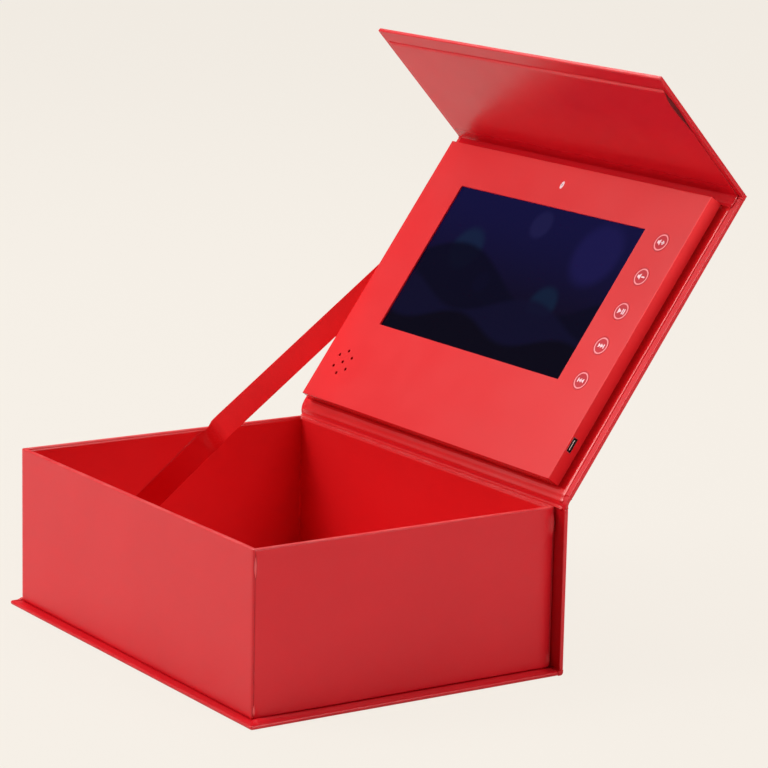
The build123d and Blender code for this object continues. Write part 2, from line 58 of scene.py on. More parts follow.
case_left, case_right = -115.95, 116.65
lid_left, lid_right = -117.35, 117.35
base_front, base_back = -85.9, 80.8
crease_y, crease_z = 83.4, 82.3
lid_length, flap_length = 167.9, 79.7
lean, fold = radians(35.6), radians(77.8)
rim_z = 79.7
tray_left, tray_right, tray_half_depth = -112.15, 109.05, 81.2
wall, lining = 2.2, 0.3
module_left, module_right = -109.05, 106.25
module_foot, module_head, module_depth = 5.4, 160.0, 7.5
window_left, window_right = -79.75, 74.25
window_foot, window_head = 52.7, 136.7
button_x, button_pitch = 90.25, 19.1
sensor_x, sensor_s = -3.15, 149.2
magnet_x, magnet_s = 68.0, 38.0
sheet_paper = 0.20

red = (0.70, 0.0068, 0.0160, 1)
deep_red = (0.59, 0.0045, 0.0120, 1)
rubbed_red = (0.86, 0.16, 0.15, 1)
# The colour of painted shade in corners and creases.
painted_shade_red = (0.38, 0.0012, 0.0030, 1)
cream = (0.913, 0.862, 0.791, 1)


# ---------------------------------------------------------------- places
along_x, along_y, along_z = Vector((1, 0, 0)), Vector((0, 1, 0)), Vector((0, 0, 1))


def placed(origin, up, out):
    """Turns (x, s, h) on a board, in millimetres, into metres in the room."""
    turn = Matrix((along_x, up, out)).transposed().to_4x4()
    return Matrix.Translation(Vector(origin) * MM) @ turn @ Matrix.Scale(MM, 4)


lid_up = Vector((0, sin(lean), cos(lean)))
lid_out = Vector((0, -cos(lean), sin(lean)))
flap_out = lid_out * cos(fold) - lid_up * sin(fold)
flap_up = flap_out.cross(along_x)
crease = Vector((0, crease_y, crease_z))
flap_crease = crease + lid_up * lid_length

base_place = placed((0, 0, board), along_y, along_z)
spine_place = placed((0, crease_y - board, 0), along_z, Vector((0, -1, 0)))
lid_place = placed(crease + lid_out * board, lid_up, lid_out)
flap_place = placed(flap_crease + flap_out * board, flap_up, flap_out)
room = Matrix.Scale(MM, 4)


def on(place, s, h):
    """The (y, z) in millimetres of a place on a board."""
    point = place @ Vector((0, s, h))
    return (point.y / MM, point.z / MM)


def ripple(x, s, seed, size=0.02):
    """From 0 to 1, slowly over a sheet."""
    return 0.5 + 0.5 * noise.noise(Vector((x * size, s * size, seed * 7.3)))


def ramp(value):
    """The value, held between 0 and 1."""
    return min(1.0, max(0.0, value))


def stations(low, high, step, hem):
    """Places along a side: one at each end, one a hem in from it, the rest even."""
    count = max(1, round((high - low - 2 * hem) / step))
    run = [low + hem + (high - low - 2 * hem) * i / count for i in range(count + 1)]
    return [low, *run, high]


# ---------------------------------------------------------------- making pieces
def piece(name, place, points, faces, material, edge=None, uv=None, smooth=True, deep=None):
    """A mesh from points in a board's own millimetres.

    edge and deep give each point's share of rubbing and of painted shade for lying deep in a
    corner.
    """
    mesh = bpy.data.meshes.new(name)
    mesh.from_pydata([place @ Vector(p) for p in points], [], faces)
    mesh.polygons.foreach_set("use_smooth", [smooth] * len(mesh.polygons))
    for mark, values in (("edge", edge), ("deep", deep)):
        if values is not None:
            mesh.attributes.new(mark, "FLOAT", "POINT").data.foreach_set("value", values)
    if uv is not None:
        layer = mesh.uv_layers.new(name="flat")
        for loop in mesh.loops:
            layer.data[loop.index].uv = uv[loop.vertex_index]
    mesh.validate()
    mesh.update()
    mesh.materials.append(material)
    thing = bpy.data.objects.new(name, mesh)
    bpy.context.scene.collection.objects.link(thing)
    return thing


def attach(thing, body, slot, *nodes):
    """Rides a piece on a body, and hides the solids it stands for. Its slot is not used."""
    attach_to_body(thing, body)
    if nodes:
        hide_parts(*nodes)


def bridge(thing, crossing, slot, *nodes):
    """Bakes a piece's place into its points, and hides the solids it stands for.

    Its crossing has no effect, and its slot is not used.
    """
    first, second, start, end = crossing
    Vector(start) * MM
    Vector(end) * MM
    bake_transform(thing)
    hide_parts(*nodes)


def soften(thing, width, segments=3):
    """Rounds the sharp edges of a piece, as paper does over board."""
    rounding = thing.modifiers.new("soft edges", "BEVEL")
    rounding.width = width * MM
    rounding.segments = segments
    rounding.limit_method = "ANGLE"
    rounding.angle_limit = radians(40)
    rounding.harden_normals = True
    return thing


def laced(rings, count, closed=False):
    """Faces between rings of points in order, and from the last to the first if closed."""
    faces = []
    for j in range(rings if closed else rings - 1):
        first, second = j * count, (j + 1) % rings * count
        for i in range(count):
            k = (i + 1) % count
            faces.append((first + i, first + k, second + k, second + i))
    return faces


def caps(rings, count):
    """The two end faces of a stack of rings."""
    last = (rings - 1) * count
    return [tuple(range(count))[::-1], tuple(range(last, last + count))]


def slab_faces(columns, rows):
    """Faces of a closed slab: its back grid, its front grid and its four sides."""
    size = columns * rows
    faces = []
    for j in range(rows - 1):
        for i in range(columns - 1):
            a = j * columns + i
            b, c, d = a + 1, a + columns + 1, a + columns
            faces.append((d, c, b, a))
            faces.append((a + size, b + size, c + size, d + size))
    rim = [(0, i) for i in range(columns)]
    rim += [(j, columns - 1) for j in range(1, rows)]
    rim += [(rows - 1, i) for i in range(columns - 2, -1, -1)]
    rim += [(j, 0) for j in range(rows - 2, 0, -1)]
    loop = [j * columns + i for j, i in rim]
    for a, b in zip(loop, loop[1:] + loop[:1]):
        faces.append((a, b, b + size, a + size))
    return faces


def border(columns, rows):
    """For each point of a grid, 1 where it lies on the grid's edge and 0 elsewhere."""
    return [
        float(i in (0, columns - 1) or j in (0, rows - 1))
        for j in range(rows)
        for i in range(columns)
    ]


def slab(name, place, xs, ss, surface, thickness, material, worn=lambda x, s: 1.0):
    """A closed sheet or board. surface(x, s) gives (x, s, h) of its front face."""
    columns, rows = len(xs), len(ss)
    front = [Vector(surface(x, s)) for s in ss for x in xs]
    back = [p - Vector((0, 0, thickness)) for p in front]
    rubbing = [worn(x, s) for s in ss for x in xs]
    edge = [share * there for share, there in zip(rubbing, border(columns, rows))]
    return piece(name, place, back + front, slab_faces(columns, rows), material, edge * 2)


def wrapped_board(
    name, place, ends, foot, head, seed, tuck=lambda s: 0.0, rounding=0.55, shade=lambda x, s: 0.0
):
    """A greyboard panel under paper: soft folded edges and faces that give a little.

    tuck(s) is how far its left edge lies in at s, and shade(x, s) how much painted
    shade its front takes there, for lying deep in a corner.
    """
    softness, wander, tucked = 0.12, 0.10, 9.0
    left, right = ends
    xs = stations(left, right, 7.0, 1.1)
    ss = stations(foot, head, 7.0, 1.1)
    columns, rows = len(xs), len(ss)
    points = []
    for low, base in ((True, -board), (False, 0.0)):
        for s in ss:
            for x in xs:
                give = softness * ripple(x, s, seed + low)
                out_x = wander * ripple(s, 0, seed + 2, 0.06) * (x in (left, right))
                out_s = wander * ripple(x, 0, seed + 3, 0.06) * (s in (foot, head))
                drawn_in = tuck(s) * max(0.0, (left + tucked - x) / tucked)
                across = x - out_x if x > 0 else x + out_x + drawn_in
                upward = s - out_s if s == head else s + out_s
                points.append((across, upward, base + give if low else base - give))
    edge = border(columns, rows) * 2
    # Painted shade on the front face, as shade(x, s) gives it.
    deep = [0.0] * (columns * rows) + [shade(x, s) for s in ss for x in xs]
    faces = slab_faces(columns, rows)
    return soften(piece(name, place, points, faces, cover, edge, deep=deep), rounding)


def fold_piece(name, outer, inner, ends, seed, material, wander=0.08):
    """Paper over a fold of the case: two matched lines of (y, z), run along it.

    ends gives the left and right end of the first line and of the last.
    """
    left, right = ends[0]
    shares = [(x - left) / (right - left) for x in stations(left, right, 5.0, 0.8)]
    columns, count = len(shares), len(outer)
    points = []
    for layer, line in enumerate((inner, outer)):
        for j, (y, z) in enumerate(line):
            left, right = (a + (b - a) * j / (count - 1) for a, b in zip(*ends))
            for share in shares:
                x = left + (right - left) * share
                sway = wander * (ripple(x, j * 3, seed + layer, 0.05) - 0.5)
                sway *= 0 < j < count - 1
                points.append((x, y + sway, z + sway))
    edge = [float(i in (0, columns - 1)) for j in range(count) for i in range(columns)]
    return piece(name, room, points, slab_faces(columns, count), material, edge * 2)


def creased_sheet(name, path, out, ends, lift, shade, seed, material):
    """A thin sheet over a fold: a line of (y, z) run along it.

    out gives the way its face looks at each point of the line, ends(t) its left and
    right, t being the share of the line that is behind, lift(x, j) how far it stands
    off the line at its j-th point, and shade(x, j) how much painted shade it takes
    there, for lying deep in a corner.
    """
    line = [Vector(p) for p in path]
    behind = [0.0]
    for a, b in zip(line, line[1:]):
        behind.append(behind[-1] + (b - a).length)
    near_right = (12.0, 9.0, 6.5, 4.5, 3.0, 1.8, 0.8, 0.0)
    left, right = ends(0.0)
    xs = stations(left, right - 15.0, 6.0, 0.9)[:-1] + [right - gap for gap in near_right]
    shares = [(x - left) / (right - left) for x in xs]
    fronts, backs, deep = [], [], []
    for j, middle in enumerate(line):
        along = (line[min(j + 1, len(line) - 1)] - line[max(j - 1, 0)]).normalized()
        off = Vector((0, along.y, -along.x))
        off = off if off.dot(out[j]) > 0 else -off
        left, right = ends(behind[j] / behind[-1])
        for i, share in enumerate(shares):
            wander = 0.12 * (ripple(behind[j], 0, seed, 0.05) - 0.5) * (i in (0, len(xs) - 1))
            x = left + (right - left) * share
            stand = lift(x, j) - 0.05 * ripple(x, behind[j], seed + 1)
            front = Vector((x + wander, middle.x, middle.y)) + off * stand
            fronts.append(front)
            backs.append(front - off * sheet_paper)
            # Painted shade, as shade(x, j) gives it.
            deep.append(shade(x, j))
    points, faces = backs + fronts, slab_faces(len(xs), len(line))
    edge = border(len(xs), len(line)) * 2
    return piece(name, room, points, faces, material, edge, deep=deep * 2)


def arc(centre, radius, start, end, steps):
    """Points on an arc, angles in degrees."""
    turns = [radians(start + (end - start) * i / steps) for i in range(steps + 1)]
    return [(centre[0] + radius * cos(t), centre[1] + radius * sin(t)) for t in turns]


# ---------------------------------------------------------------- shader helpers
def add(tree, kind, values=None, **settings):
    """A new node, with the values of its inputs and its settings."""
    node = tree.nodes.new(kind)
    for name, value in settings.items():
        setattr(node, name, value)
    for name, value in (values or {}).items():
        node.inputs[name].default_value = value
    return node


def join(tree, *pairs):
    """Links pairs of (output, input)."""
    for out, into in pairs:
        tree.links.new(out, into)


def effect(name, amounts, outputs):
    """An empty node group that takes a place and amounts: its tree, and both its ends."""
    tree = bpy.data.node_groups.new(name, "ShaderNodeTree")
    tree.interface.new_socket("Vector", in_out="INPUT", socket_type="NodeSocketVector")
    for label, usual in amounts.items():
        socket = tree.interface.new_socket(label, in_out="INPUT", socket_type="NodeSocketFloat")
        socket.default_value = usual
    for label in outputs:
        tree.interface.new_socket(label, in_out="OUTPUT", socket_type="NodeSocketFloat")
    return tree, add(tree, "NodeGroupInput").outputs, add(tree, "NodeGroupOutput").inputs


def noise_of(tree, vector, scale, detail=2.0, roughness=0.5):
    node = add(tree, "ShaderNodeTexNoise", {"Detail": detail, "Roughness": roughness})
    tree.links.new(vector, node.inputs["Vector"])
    if isinstance(scale, float):
        node.inputs["Scale"].default_value = scale
    else:
        tree.links.new(scale, node.inputs["Scale"])
    return node.outputs["Fac"]


def maths(tree, operation, first, second, clamp=False):
    """A sum on two sockets or numbers."""
    node = add(tree, "ShaderNodeMath", operation=operation, use_clamp=clamp)
    for socket, value in zip(node.inputs, (first, second)):
        if isinstance(value, (int, float)):
            socket.default_value = value
        else:
            tree.links.new(value, socket)
    return node.outputs[0]


def spread(tree, value, low, high, to_low, to_high, smooth=False):
    """The value, mapped from one range to another and held inside it."""
    node = add(
        tree,
        "ShaderNodeMapRange",
        {"From Min": low, "From Max": high, "To Min": to_low, "To Max": to_high},
        interpolation_type="SMOOTHSTEP" if smooth else "LINEAR",
    )
    tree.links.new(value, node.inputs["Value"])
    return node.outputs["Result"]


def times(tree, first, second, clamp=False):
    return maths(tree, "MULTIPLY", first, second, clamp)


def fade(tree, value, low, high):
    """A smooth step from 0 at low to 1 at high."""
    return spread(tree, value, low, high, 0.0, 1.0, True)


def mixed(tree, factor, first, second):
    """A colour between two others."""
    node = add(tree, "ShaderNodeMix", data_type="RGBA")
    for at, value in ((0, factor), (6, first), (7, second)):
        if isinstance(value, (int, float, tuple)):
            node.inputs[at].default_value = value
        else:
            tree.links.new(value, node.inputs[at])
    return node.outputs[2]


# ---------------------------------------------------------------- shared effects
def make_paper_tooth():
    """Fine fibre relief, and a slow unevenness of tone and of gloss."""
    tree, given, result = effect(
        "paper tooth", {"Fibre": 2200.0, "Patch": 16.0}, ["Relief", "Tone", "Gloss"]
    )
    where = given["Vector"]
    fibre = noise_of(tree, where, given["Fibre"], 3.0, 0.6)
    coarse = noise_of(tree, where, times(tree, given["Fibre"], 0.22), 2.0)
    both = maths(tree, "ADD", times(tree, fibre, 0.6), times(tree, coarse, 0.4))
    patch = noise_of(tree, where, given["Patch"], 3.0, 0.55)
    gloss = noise_of(tree, where, times(tree, given["Patch"], 2.7), 1.5, 0.5)
    join(
        tree,
        (both, result["Relief"]),
        (fade(tree, patch, 0.3, 0.7), result["Tone"]),
        (fade(tree, gloss, 0.3, 0.72), result["Gloss"]),
    )
    return tree


def make_rubbed_edge():
    """Where handling has rubbed the folded edges, broken up along them."""
    tree, given, result = effect(
        "rubbed edge", {"Edge": 0.0, "Break": 90.0, "Amount": 0.5}, ["Rub"]
    )
    broken = noise_of(tree, given["Vector"], given["Break"], 4.0, 0.65)
    ragged = spread(tree, broken, 0.35, 0.7, 0.25, 1.0, True)
    edge = fade(tree, given["Edge"], 0.35, 1.0)
    rub = times(tree, times(tree, edge, ragged), given["Amount"], True)
    join(tree, (rub, result["Rub"]))
    return tree


def make_fine_lines():
    """Parallel lines with uneven spacing, for brushed metal and for satin threads."""
    tree, given, result = effect(
        "fine lines", {"Along": 20.0, "Across": 900.0}, ["Relief", "Tone"]
    )
    scale = add(tree, "ShaderNodeCombineXYZ")
    join(
        tree,
        (given["Along"], scale.inputs["X"]),
        (given["Across"], scale.inputs["Y"]),
        (given["Across"], scale.inputs["Z"]),
    )
    stretched = add(tree, "ShaderNodeVectorMath", operation="MULTIPLY")
    join(tree, (given["Vector"], stretched.inputs[0]), (scale.outputs[0], stretched.inputs[1]))
    lines = noise_of(tree, stretched.outputs[0], 1.0, 2.0, 0.6)
    join(tree, (lines, result["Relief"]), (fade(tree, lines, 0.3, 0.7), result["Tone"]))
    return tree


paper_tooth = make_paper_tooth()
rubbed_edge = make_rubbed_edge()
fine_lines = make_fine_lines()


def new_finish(name, roughness=0.5, metallic=0.0, specular=0.5):
    """A material with its Principled shader, and the place on the piece."""
    material = bpy.data.materials.new(name)
    material.use_nodes = True
    tree = material.node_tree
    shader = tree.nodes["Principled BSDF"]
    shader.inputs["Roughness"].default_value = roughness
    shader.inputs["Metallic"].default_value = metallic
    shader.inputs["Specular IOR Level"].default_value = specular
    where = add(tree, "ShaderNodeTexCoord").outputs["Object"]
    return material, tree, shader, where


def marked(tree, name):
    """What a piece's points say of themselves, such as the painted shade they take for lying deep
    in a corner.
    """
    return add(tree, "ShaderNodeAttribute", attribute_name=name).outputs["Fac"]


def use(tree, group, where, values):
    """Lays a shared effect on a place, with its amounts."""
    node = add(tree, "ShaderNodeGroup", node_tree=group)
    for name, value in values.items():
        node.inputs[name].default_value = value
    tree.links.new(where, node.inputs["Vector"])
    return node


def coat(tree, shader, colour, rough):
    """Gives a finish its colour and its roughness."""
    inputs = shader.inputs
    join(tree, (colour, inputs["Base Color"]), (rough, inputs["Roughness"]))


def relief(tree, shader, height, strength, distance=0.00008):
    """Raises a finish by a height, its distance in metres."""
    bump = add(tree, "ShaderNodeBump", {"Strength": strength, "Distance": distance})
    join(tree, (height, bump.inputs["Height"]), (bump.outputs["Normal"], shader.inputs["Normal"]))


# ---------------------------------------------------------------- finishes
def beyond(tree, where, axis, low, high):
    """From 0 to 1 between two places, in millimetres, along an axis of the lid."""
    way = (lid_place.to_3x3() @ axis).normalized()
    reach = add(tree, "ShaderNodeVectorMath", {1: way}, operation="DOT_PRODUCT")
    join(tree, (where, reach.inputs[0]))
    start = lid_place.translation.dot(way)
    return fade(tree, reach.outputs["Value"], start + low * MM, start + high * MM)


def paper_finish(name, colour, deep, gloss=(0.29, 0.33), rub=0.10, module_walls=False):
    """Satin-laminated paper, with painted shade where it lies deep in a corner, where it is also
    less scuffed.

    The module's walls are its own: painted light makes them paler towards the head on
    the keys' side, and painted shade darkens its foot.
    """
    material, tree, shader, where = new_finish(name)
    grain = use(tree, paper_tooth, where, {"Fibre": 2200.0, "Patch": 16.0})
    edges = use(tree, rubbed_edge, where, {"Break": 90.0, "Amount": rub})
    body = mixed(tree, times(tree, grain.outputs["Tone"], 0.35), colour, deep)
    if module_walls:
        # Painted shade on the module's foot wall.
        foot_wall = beyond(tree, where, along_y, module_foot + 0.45, module_foot + 0.25)
        painted_shade = times(tree, foot_wall, 0.4)
        # Painted light: the wall on the keys' side grows paler towards the head and its face.
        key_wall = beyond(tree, where, along_x, module_right - 0.45, module_right - 0.15)
        upward = beyond(tree, where, along_y, module_foot + 10, module_head)
        outward = beyond(tree, where, along_z, 0.0, module_depth)
        painted_light = times(tree, times(tree, upward, outward), key_wall)
        body = mixed(tree, painted_light, body, (1.0, 0.045, 0.052, 1))
    else:
        painted_shade = marked(tree, "deep")
    worn = mixed(tree, edges.outputs["Rub"], body, rubbed_red)
    rough = spread(tree, grain.outputs["Gloss"], 0, 1, *gloss)
    fresh = spread(tree, painted_shade, 0.0, 0.3, 0.0, 0.18, True)
    join(tree, (marked(tree, "edge"), edges.inputs["Edge"]))
    # Painted shade: the colour darkens where the piece lies deep in a corner or on the module's
    # foot wall.
    shown = mixed(tree, times(tree, painted_shade, 0.85), worn, painted_shade_red)
    coat(tree, shader, shown, maths(tree, "SUBTRACT", rough, fresh))
    relief(tree, shader, grain.outputs["Relief"], 0.07)
    return material


def plain_finish(name, colour, second, roughness, metallic=0.0, tooth=0.1):
    """A plain moulded, printed or sprayed surface, with a little life in it."""
    material, tree, shader, where = new_finish(name, metallic=metallic)
    grain = use(tree, paper_tooth, where, {"Fibre": 900.0, "Patch": 40.0})
    rough = spread(tree, grain.outputs["Gloss"], 0, 1, roughness - 0.05, roughness + 0.05)
    coat(tree, shader, mixed(tree, grain.outputs["Tone"], colour, second), rough)
    relief(tree, shader, grain.outputs["Relief"], tooth)
    return material


def metal_finish(name, colour, second, roughness):
    """Brushed metal."""
    material, tree, shader, where = new_finish(name, metallic=1.0)
    lines = use(tree, fine_lines, where, {"Along": 20.0, "Across": 1500.0})
    rough = spread(tree, lines.outputs["Tone"], 0, 1, roughness - 0.08, roughness + 0.08)
    coat(tree, shader, mixed(tree, lines.outputs["Tone"], colour, second), rough)
    relief(tree, shader, lines.outputs["Relief"], 0.15, 0.00002)
    return material


def ribbon_finish():
    """Satin ribbon: fine threads along it and a soft sheen across."""
    material, tree, shader, _ = new_finish("satin ribbon", specular=0.6)
    flat = add(tree, "ShaderNodeUVMap", uv_map="flat").outputs["UV"]
    threads = use(tree, fine_lines, flat, {"Along": 900.0, "Across": 5200.0})
    length = use(tree, fine_lines, flat, {"Along": 60.0, "Across": 30.0})
    body = mixed(tree, threads.outputs["Tone"], (0.98, 0.030, 0.038, 1), (0.90, 0.022, 0.028, 1))
    slow = times(tree, length.outputs["Tone"], 0.15)
    body = mixed(tree, slow, body, (0.74, 0.012, 0.016, 1))
    painted_shade = marked(tree, "deep")
    rough = spread(tree, threads.outputs["Tone"], 0, 1, 0.36, 0.48)
    fresh = times(tree, painted_shade, 0.28)
    # Painted shade: the tail in the tray darkens where its points are marked deep.
    shown = mixed(tree, painted_shade, body, (0.52, 0.0010, 0.0030, 1))
    coat(tree, shader, shown, maths(tree, "SUBTRACT", rough, fresh))
    shader.inputs["Sheen Weight"].default_value = 0.15
    shader.inputs["Sheen Roughness"].default_value = 0.4
    shader.inputs["Sheen Tint"].default_value = (1, 0.25, 0.25, 1)
    relief(tree, shader, threads.outputs["Relief"], 0.3, 0.00005)
    return material


def screen_finish():
    """The lit panel: slow dark waves and pale rounds, drawn on the flat of the glass."""
    material, tree, shader, _ = new_finish("lit screen", roughness=0.14, specular=0.05)
    flat = add(tree, "ShaderNodeUVMap", uv_map="flat").outputs["UV"]
    axes = add(tree, "ShaderNodeSeparateXYZ")
    join(tree, (flat, axes.inputs[0]))
    sideways, upward = axes.outputs["X"], axes.outputs["Y"]
    low_sky, high_sky = (0.0036, 0.0018, 0.0075, 1), (0.0052, 0.0046, 0.0420, 1)
    picture = mixed(tree, fade(tree, upward, 0.1, 1.0), low_sky, high_sky)
    rounds = [
        (0.84, 0.78, 0.20, (0.0105, 0.0085, 0.0700, 1)),
        (0.20, 0.62, 0.14, (0.0060, 0.0160, 0.0480, 1)),
        (0.50, 0.88, 0.09, (0.0120, 0.0110, 0.0620, 1)),
        (0.72, 0.40, 0.12, (0.0045, 0.0150, 0.0420, 1)),
        (0.37, 0.44, 0.07, (0.0080, 0.0060, 0.0500, 1)),
    ]
    for at_x, at_y, size, colour in rounds:
        shift = add(tree, "ShaderNodeVectorMath", {1: (at_x, at_y, 0)}, operation="SUBTRACT")
        shape = add(tree, "ShaderNodeVectorMath", {1: (1.83, 1.0, 1.0)}, operation="MULTIPLY")
        span = add(tree, "ShaderNodeVectorMath", operation="LENGTH")
        steps = (shift.inputs[0], shape.inputs[0], span.inputs[0])
        join(tree, *zip((flat, shift.outputs[0], shape.outputs[0]), steps))
        inside = spread(tree, span.outputs["Value"], size * 1.25, size * 0.75, 0.0, 0.75, True)
        picture = mixed(tree, inside, picture, colour)
    swells = [
        (0.50, 0.16, 6.0, 0.4, (0.0018, 0.0016, 0.0110, 1)),
        (0.33, 0.09, 8.5, 2.1, (0.0040, 0.0034, 0.0210, 1)),
        (0.17, 0.06, 11.0, 4.0, (0.0016, 0.0010, 0.0050, 1)),
    ]
    for level, swing, turns, start, colour in swells:
        phase = maths(tree, "ADD", times(tree, sideways, turns), start)
        crest = times(tree, maths(tree, "SINE", phase, 0.0), swing)
        under = maths(tree, "SUBTRACT", maths(tree, "ADD", crest, level), upward)
        picture = mixed(tree, spread(tree, under, -0.02, 0.03, 0.0, 0.9, True), picture, colour)
    shader.inputs["Base Color"].default_value = (0.002, 0.002, 0.003, 1)
    shader.inputs["Emission Strength"].default_value = 1.0
    join(tree, (picture, shader.inputs["Emission Color"]))
    return material


def circuit_finish():
    """Green solder mask over fine straight tracks."""
    material, tree, shader, where = new_finish("solder mask")
    pattern = {"Scale": 260.0, "Mortar Size": 0.03, "Brick Width": 1.3}
    tracks = add(tree, "ShaderNodeTexBrick", pattern)
    join(tree, (where, tracks.inputs["Vector"]))
    body = mixed(tree, tracks.outputs["Fac"], (0.012, 0.13, 0.05, 1), (0.03, 0.24, 0.10, 1))
    grain = use(tree, paper_tooth, where, {"Fibre": 1500.0, "Patch": 60.0})
    coat(tree, shader, body, spread(tree, grain.outputs["Gloss"], 0, 1, 0.3, 0.42))
    relief(tree, shader, tracks.outputs["Fac"], 0.2)
    return material


cover = paper_finish("cover paper", red, deep_red)
rim_cover = paper_finish("cover paper on a rim", red, deep_red, rub=0.5)
cut_cover = paper_finish("cover paper at a cut", red, deep_red, rub=0.9)
inside_paper = paper_finish(
    "lining paper", (0.73, 0.0110, 0.0150, 1), (0.65, 0.0085, 0.0120, 1), gloss=(0.285, 0.325)
)
module_paper = paper_finish(
    "module paper",
    (0.73, 0.0100, 0.0150, 1),
    (0.68, 0.0085, 0.0130, 1),
    gloss=(0.34, 0.37),
    rub=0.05,
    module_walls=True,
)
key_paper = paper_finish(
    "key face", (0.64, 0.012, 0.030, 1), (0.60, 0.010, 0.026, 1), gloss=(0.36, 0.42), rub=0.0
)
# Painted shadow: a dark colour for the strip where the liner has come unstuck.
painted_gap_shadow = plain_finish(
    "painted shadow under the unstuck liner", (0.17, 0.0015, 0.004, 1), (0.11, 0.001, 0.002, 1), 0.75
)
raw_edge = plain_finish("raw paper edge", (0.98, 0.15, 0.16, 1), (0.92, 0.09, 0.10, 1), 0.6)
# A glue line, darkened as painted shadow in the seam.
glue_and_seam_shadow = plain_finish("glue line and painted seam shadow", (0.36, 0.006, 0.009, 1), (0.22, 0.003, 0.005, 1), 0.7)
key_tint = plain_finish("key tint", (0.56, 0.004, 0.020, 1), (0.50, 0.003, 0.016, 1), 0.62)
ink = plain_finish("white ink", (0.95, 0.70, 0.76, 1), (0.90, 0.60, 0.68, 1), 0.5)
ring_ink = plain_finish("ring ink", (0.95, 0.30, 0.33, 1), (0.90, 0.24, 0.27, 1), 0.5)
satin = ribbon_finish()
screen = screen_finish()
lens = plain_finish("lens plastic", (0.85, 0.80, 0.78, 1), (0.75, 0.70, 0.68, 1), 0.25)
eye = plain_finish("sensor eye", (0.03, 0.015, 0.015, 1), (0.02, 0.01, 0.01, 1), 0.3)
plating = metal_finish("magnet plating", (0.62, 0.62, 0.64, 1), (0.5, 0.5, 0.52, 1), 0.3)
grey_card = plain_finish("grey card", (0.36, 0.35, 0.33, 1), (0.30, 0.29, 0.27, 1), 0.8, tooth=0.5)
panel_steel = metal_finish("panel frame", (0.68, 0.68, 0.70, 1), (0.56, 0.56, 0.58, 1), 0.35)
diffuser = plain_finish("diffuser", (0.85, 0.86, 0.88, 1), (0.80, 0.81, 0.84, 1), 0.3)
foam = plain_finish("black foam", (0.02, 0.02, 0.022, 1), (0.012, 0.012, 0.013, 1), 0.9, tooth=0.6)
circuit = circuit_finish()
black_plastic = plain_finish("black plastic", (0.02, 0.02, 0.022, 1), (0.03, 0.03, 0.03, 1), 0.4)
cone = plain_finish(
    "cone paper", (0.010, 0.006, 0.006, 1), (0.02, 0.014, 0.013, 1), 0.85, tooth=0.5
)
port_steel = metal_finish("port steel", (0.60, 0.60, 0.62, 1), (0.48, 0.48, 0.50, 1), 0.28)
pouch = plain_finish(
    "battery wrap", (0.55, 0.57, 0.60, 1), (0.42, 0.44, 0.47, 1), 0.35, metallic=0.8
)
sleeve = plain_finish("lead sleeve", (0.50, 0.02, 0.02, 1), (0.40, 0.015, 0.015, 1), 0.45)
film = plain_finish("amber film", (0.50, 0.26, 0.06, 1), (0.42, 0.20, 0.04, 1), 0.2)

key_names = ["previous", "next", "play", "volume_down", "volume_up"]
for material, nodes in (
    (module_paper, ["module_housing"]),
    (key_paper, [f"{key}_button" for key in key_names]),
    (plating, ["flap_magnets", "tray_steel_discs", "speaker_magnet"]),
    (grey_card, ["module_back_card", "spacer_board"]),
    (panel_steel, ["screen_frame"]),
    (diffuser, ["backlight_panel"]),
    (foam, ["window_gasket", "speaker_gasket", "board_pads"]),
    (circuit, ["button_board", "sensor_board", "main_board"]),
    (black_plastic, ["tact_switches", "main_board_chips", "speaker_frame"]),
    (lens, ["light_sensor"]),
    (cone, ["speaker_cone"]),
    (port_steel, ["usb_port"]),
    (pouch, ["battery"]),
    (sleeve, ["battery_leads", "speaker_leads", "sensor_leads"]),
    (film, ["screen_cable", "button_cable"]),
):
    for node in nodes:
        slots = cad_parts[node].data.materials
        slots.clear()
        slots.append(material)


# ---------------------------------------------------------------- case boards
case_ends, lid_ends = (case_left, case_right), (lid_left, lid_right)
base_cover = wrapped_board(
    "base_cover", base_place, case_ends, base_front, base_back, 1, rounding=0.95
)
spine_cover = wrapped_board(
    "spine_cover",
    spine_place,
    case_ends,
    hinge_gap,
    rim_z,
    2,
    tuck=lambda s: 1.8 * s / rim_z,
    # Painted shade on the spine's inside, behind the tray; none on its right end.
    shade=lambda x, s: 0.0 if x > case_right - 0.5 else 0.75,
)
lid_cover = wrapped_board(
    "lid_cover",
    lid_place,
    lid_ends,
    hinge_gap,
    lid_length - hinge_gap,
    3,
    tuck=lambda s: 1.6 * (1 - s / lid_length),
)
flap_cover = wrapped_board("flap_cover", flap_place, lid_ends, hinge_gap, flap_length, 4)
attach(base_cover, "box", "cover_paper", "base_board")
attach(spine_cover, "box", "cover_paper", "spine_board")
attach(lid_cover, "lid", "cover_paper", "lid_board")
attach(flap_cover, "flap", "cover_paper", "flap_board")


# ---------------------------------------------------------------- folds of the case
def on_outside(place, s):
    """A place in the room on the outer face of a board."""
    return (0, *on(place, s, -board))


lid_crossing = ("box", "lid", (0, crease_y, rim_z), on_outside(lid_place, hinge_gap))
flap_crossing = (
    "lid",
    "flap",
    on_outside(lid_place, lid_length - hinge_gap),
    on_outside(flap_place, hinge_gap),
)


def bent(before, middle, after, dip):
    """A line from board to board that dips between them and is creased at the middle."""
    start, turn, end = Vector(before), Vector(middle), Vector(after)
    side = Vector((-(end - start).y, (end - start).x)).normalized()
    steps = 4
    line = []
    for first, last, sag in ((start, turn, 1.0), (turn, end, 0.8)):
        for i in range(steps):
            t = i / steps
            line.append(tuple(first.lerp(last, t) + side * (dip * sin(pi * t) * sag)))
    return [*line, tuple(end)]


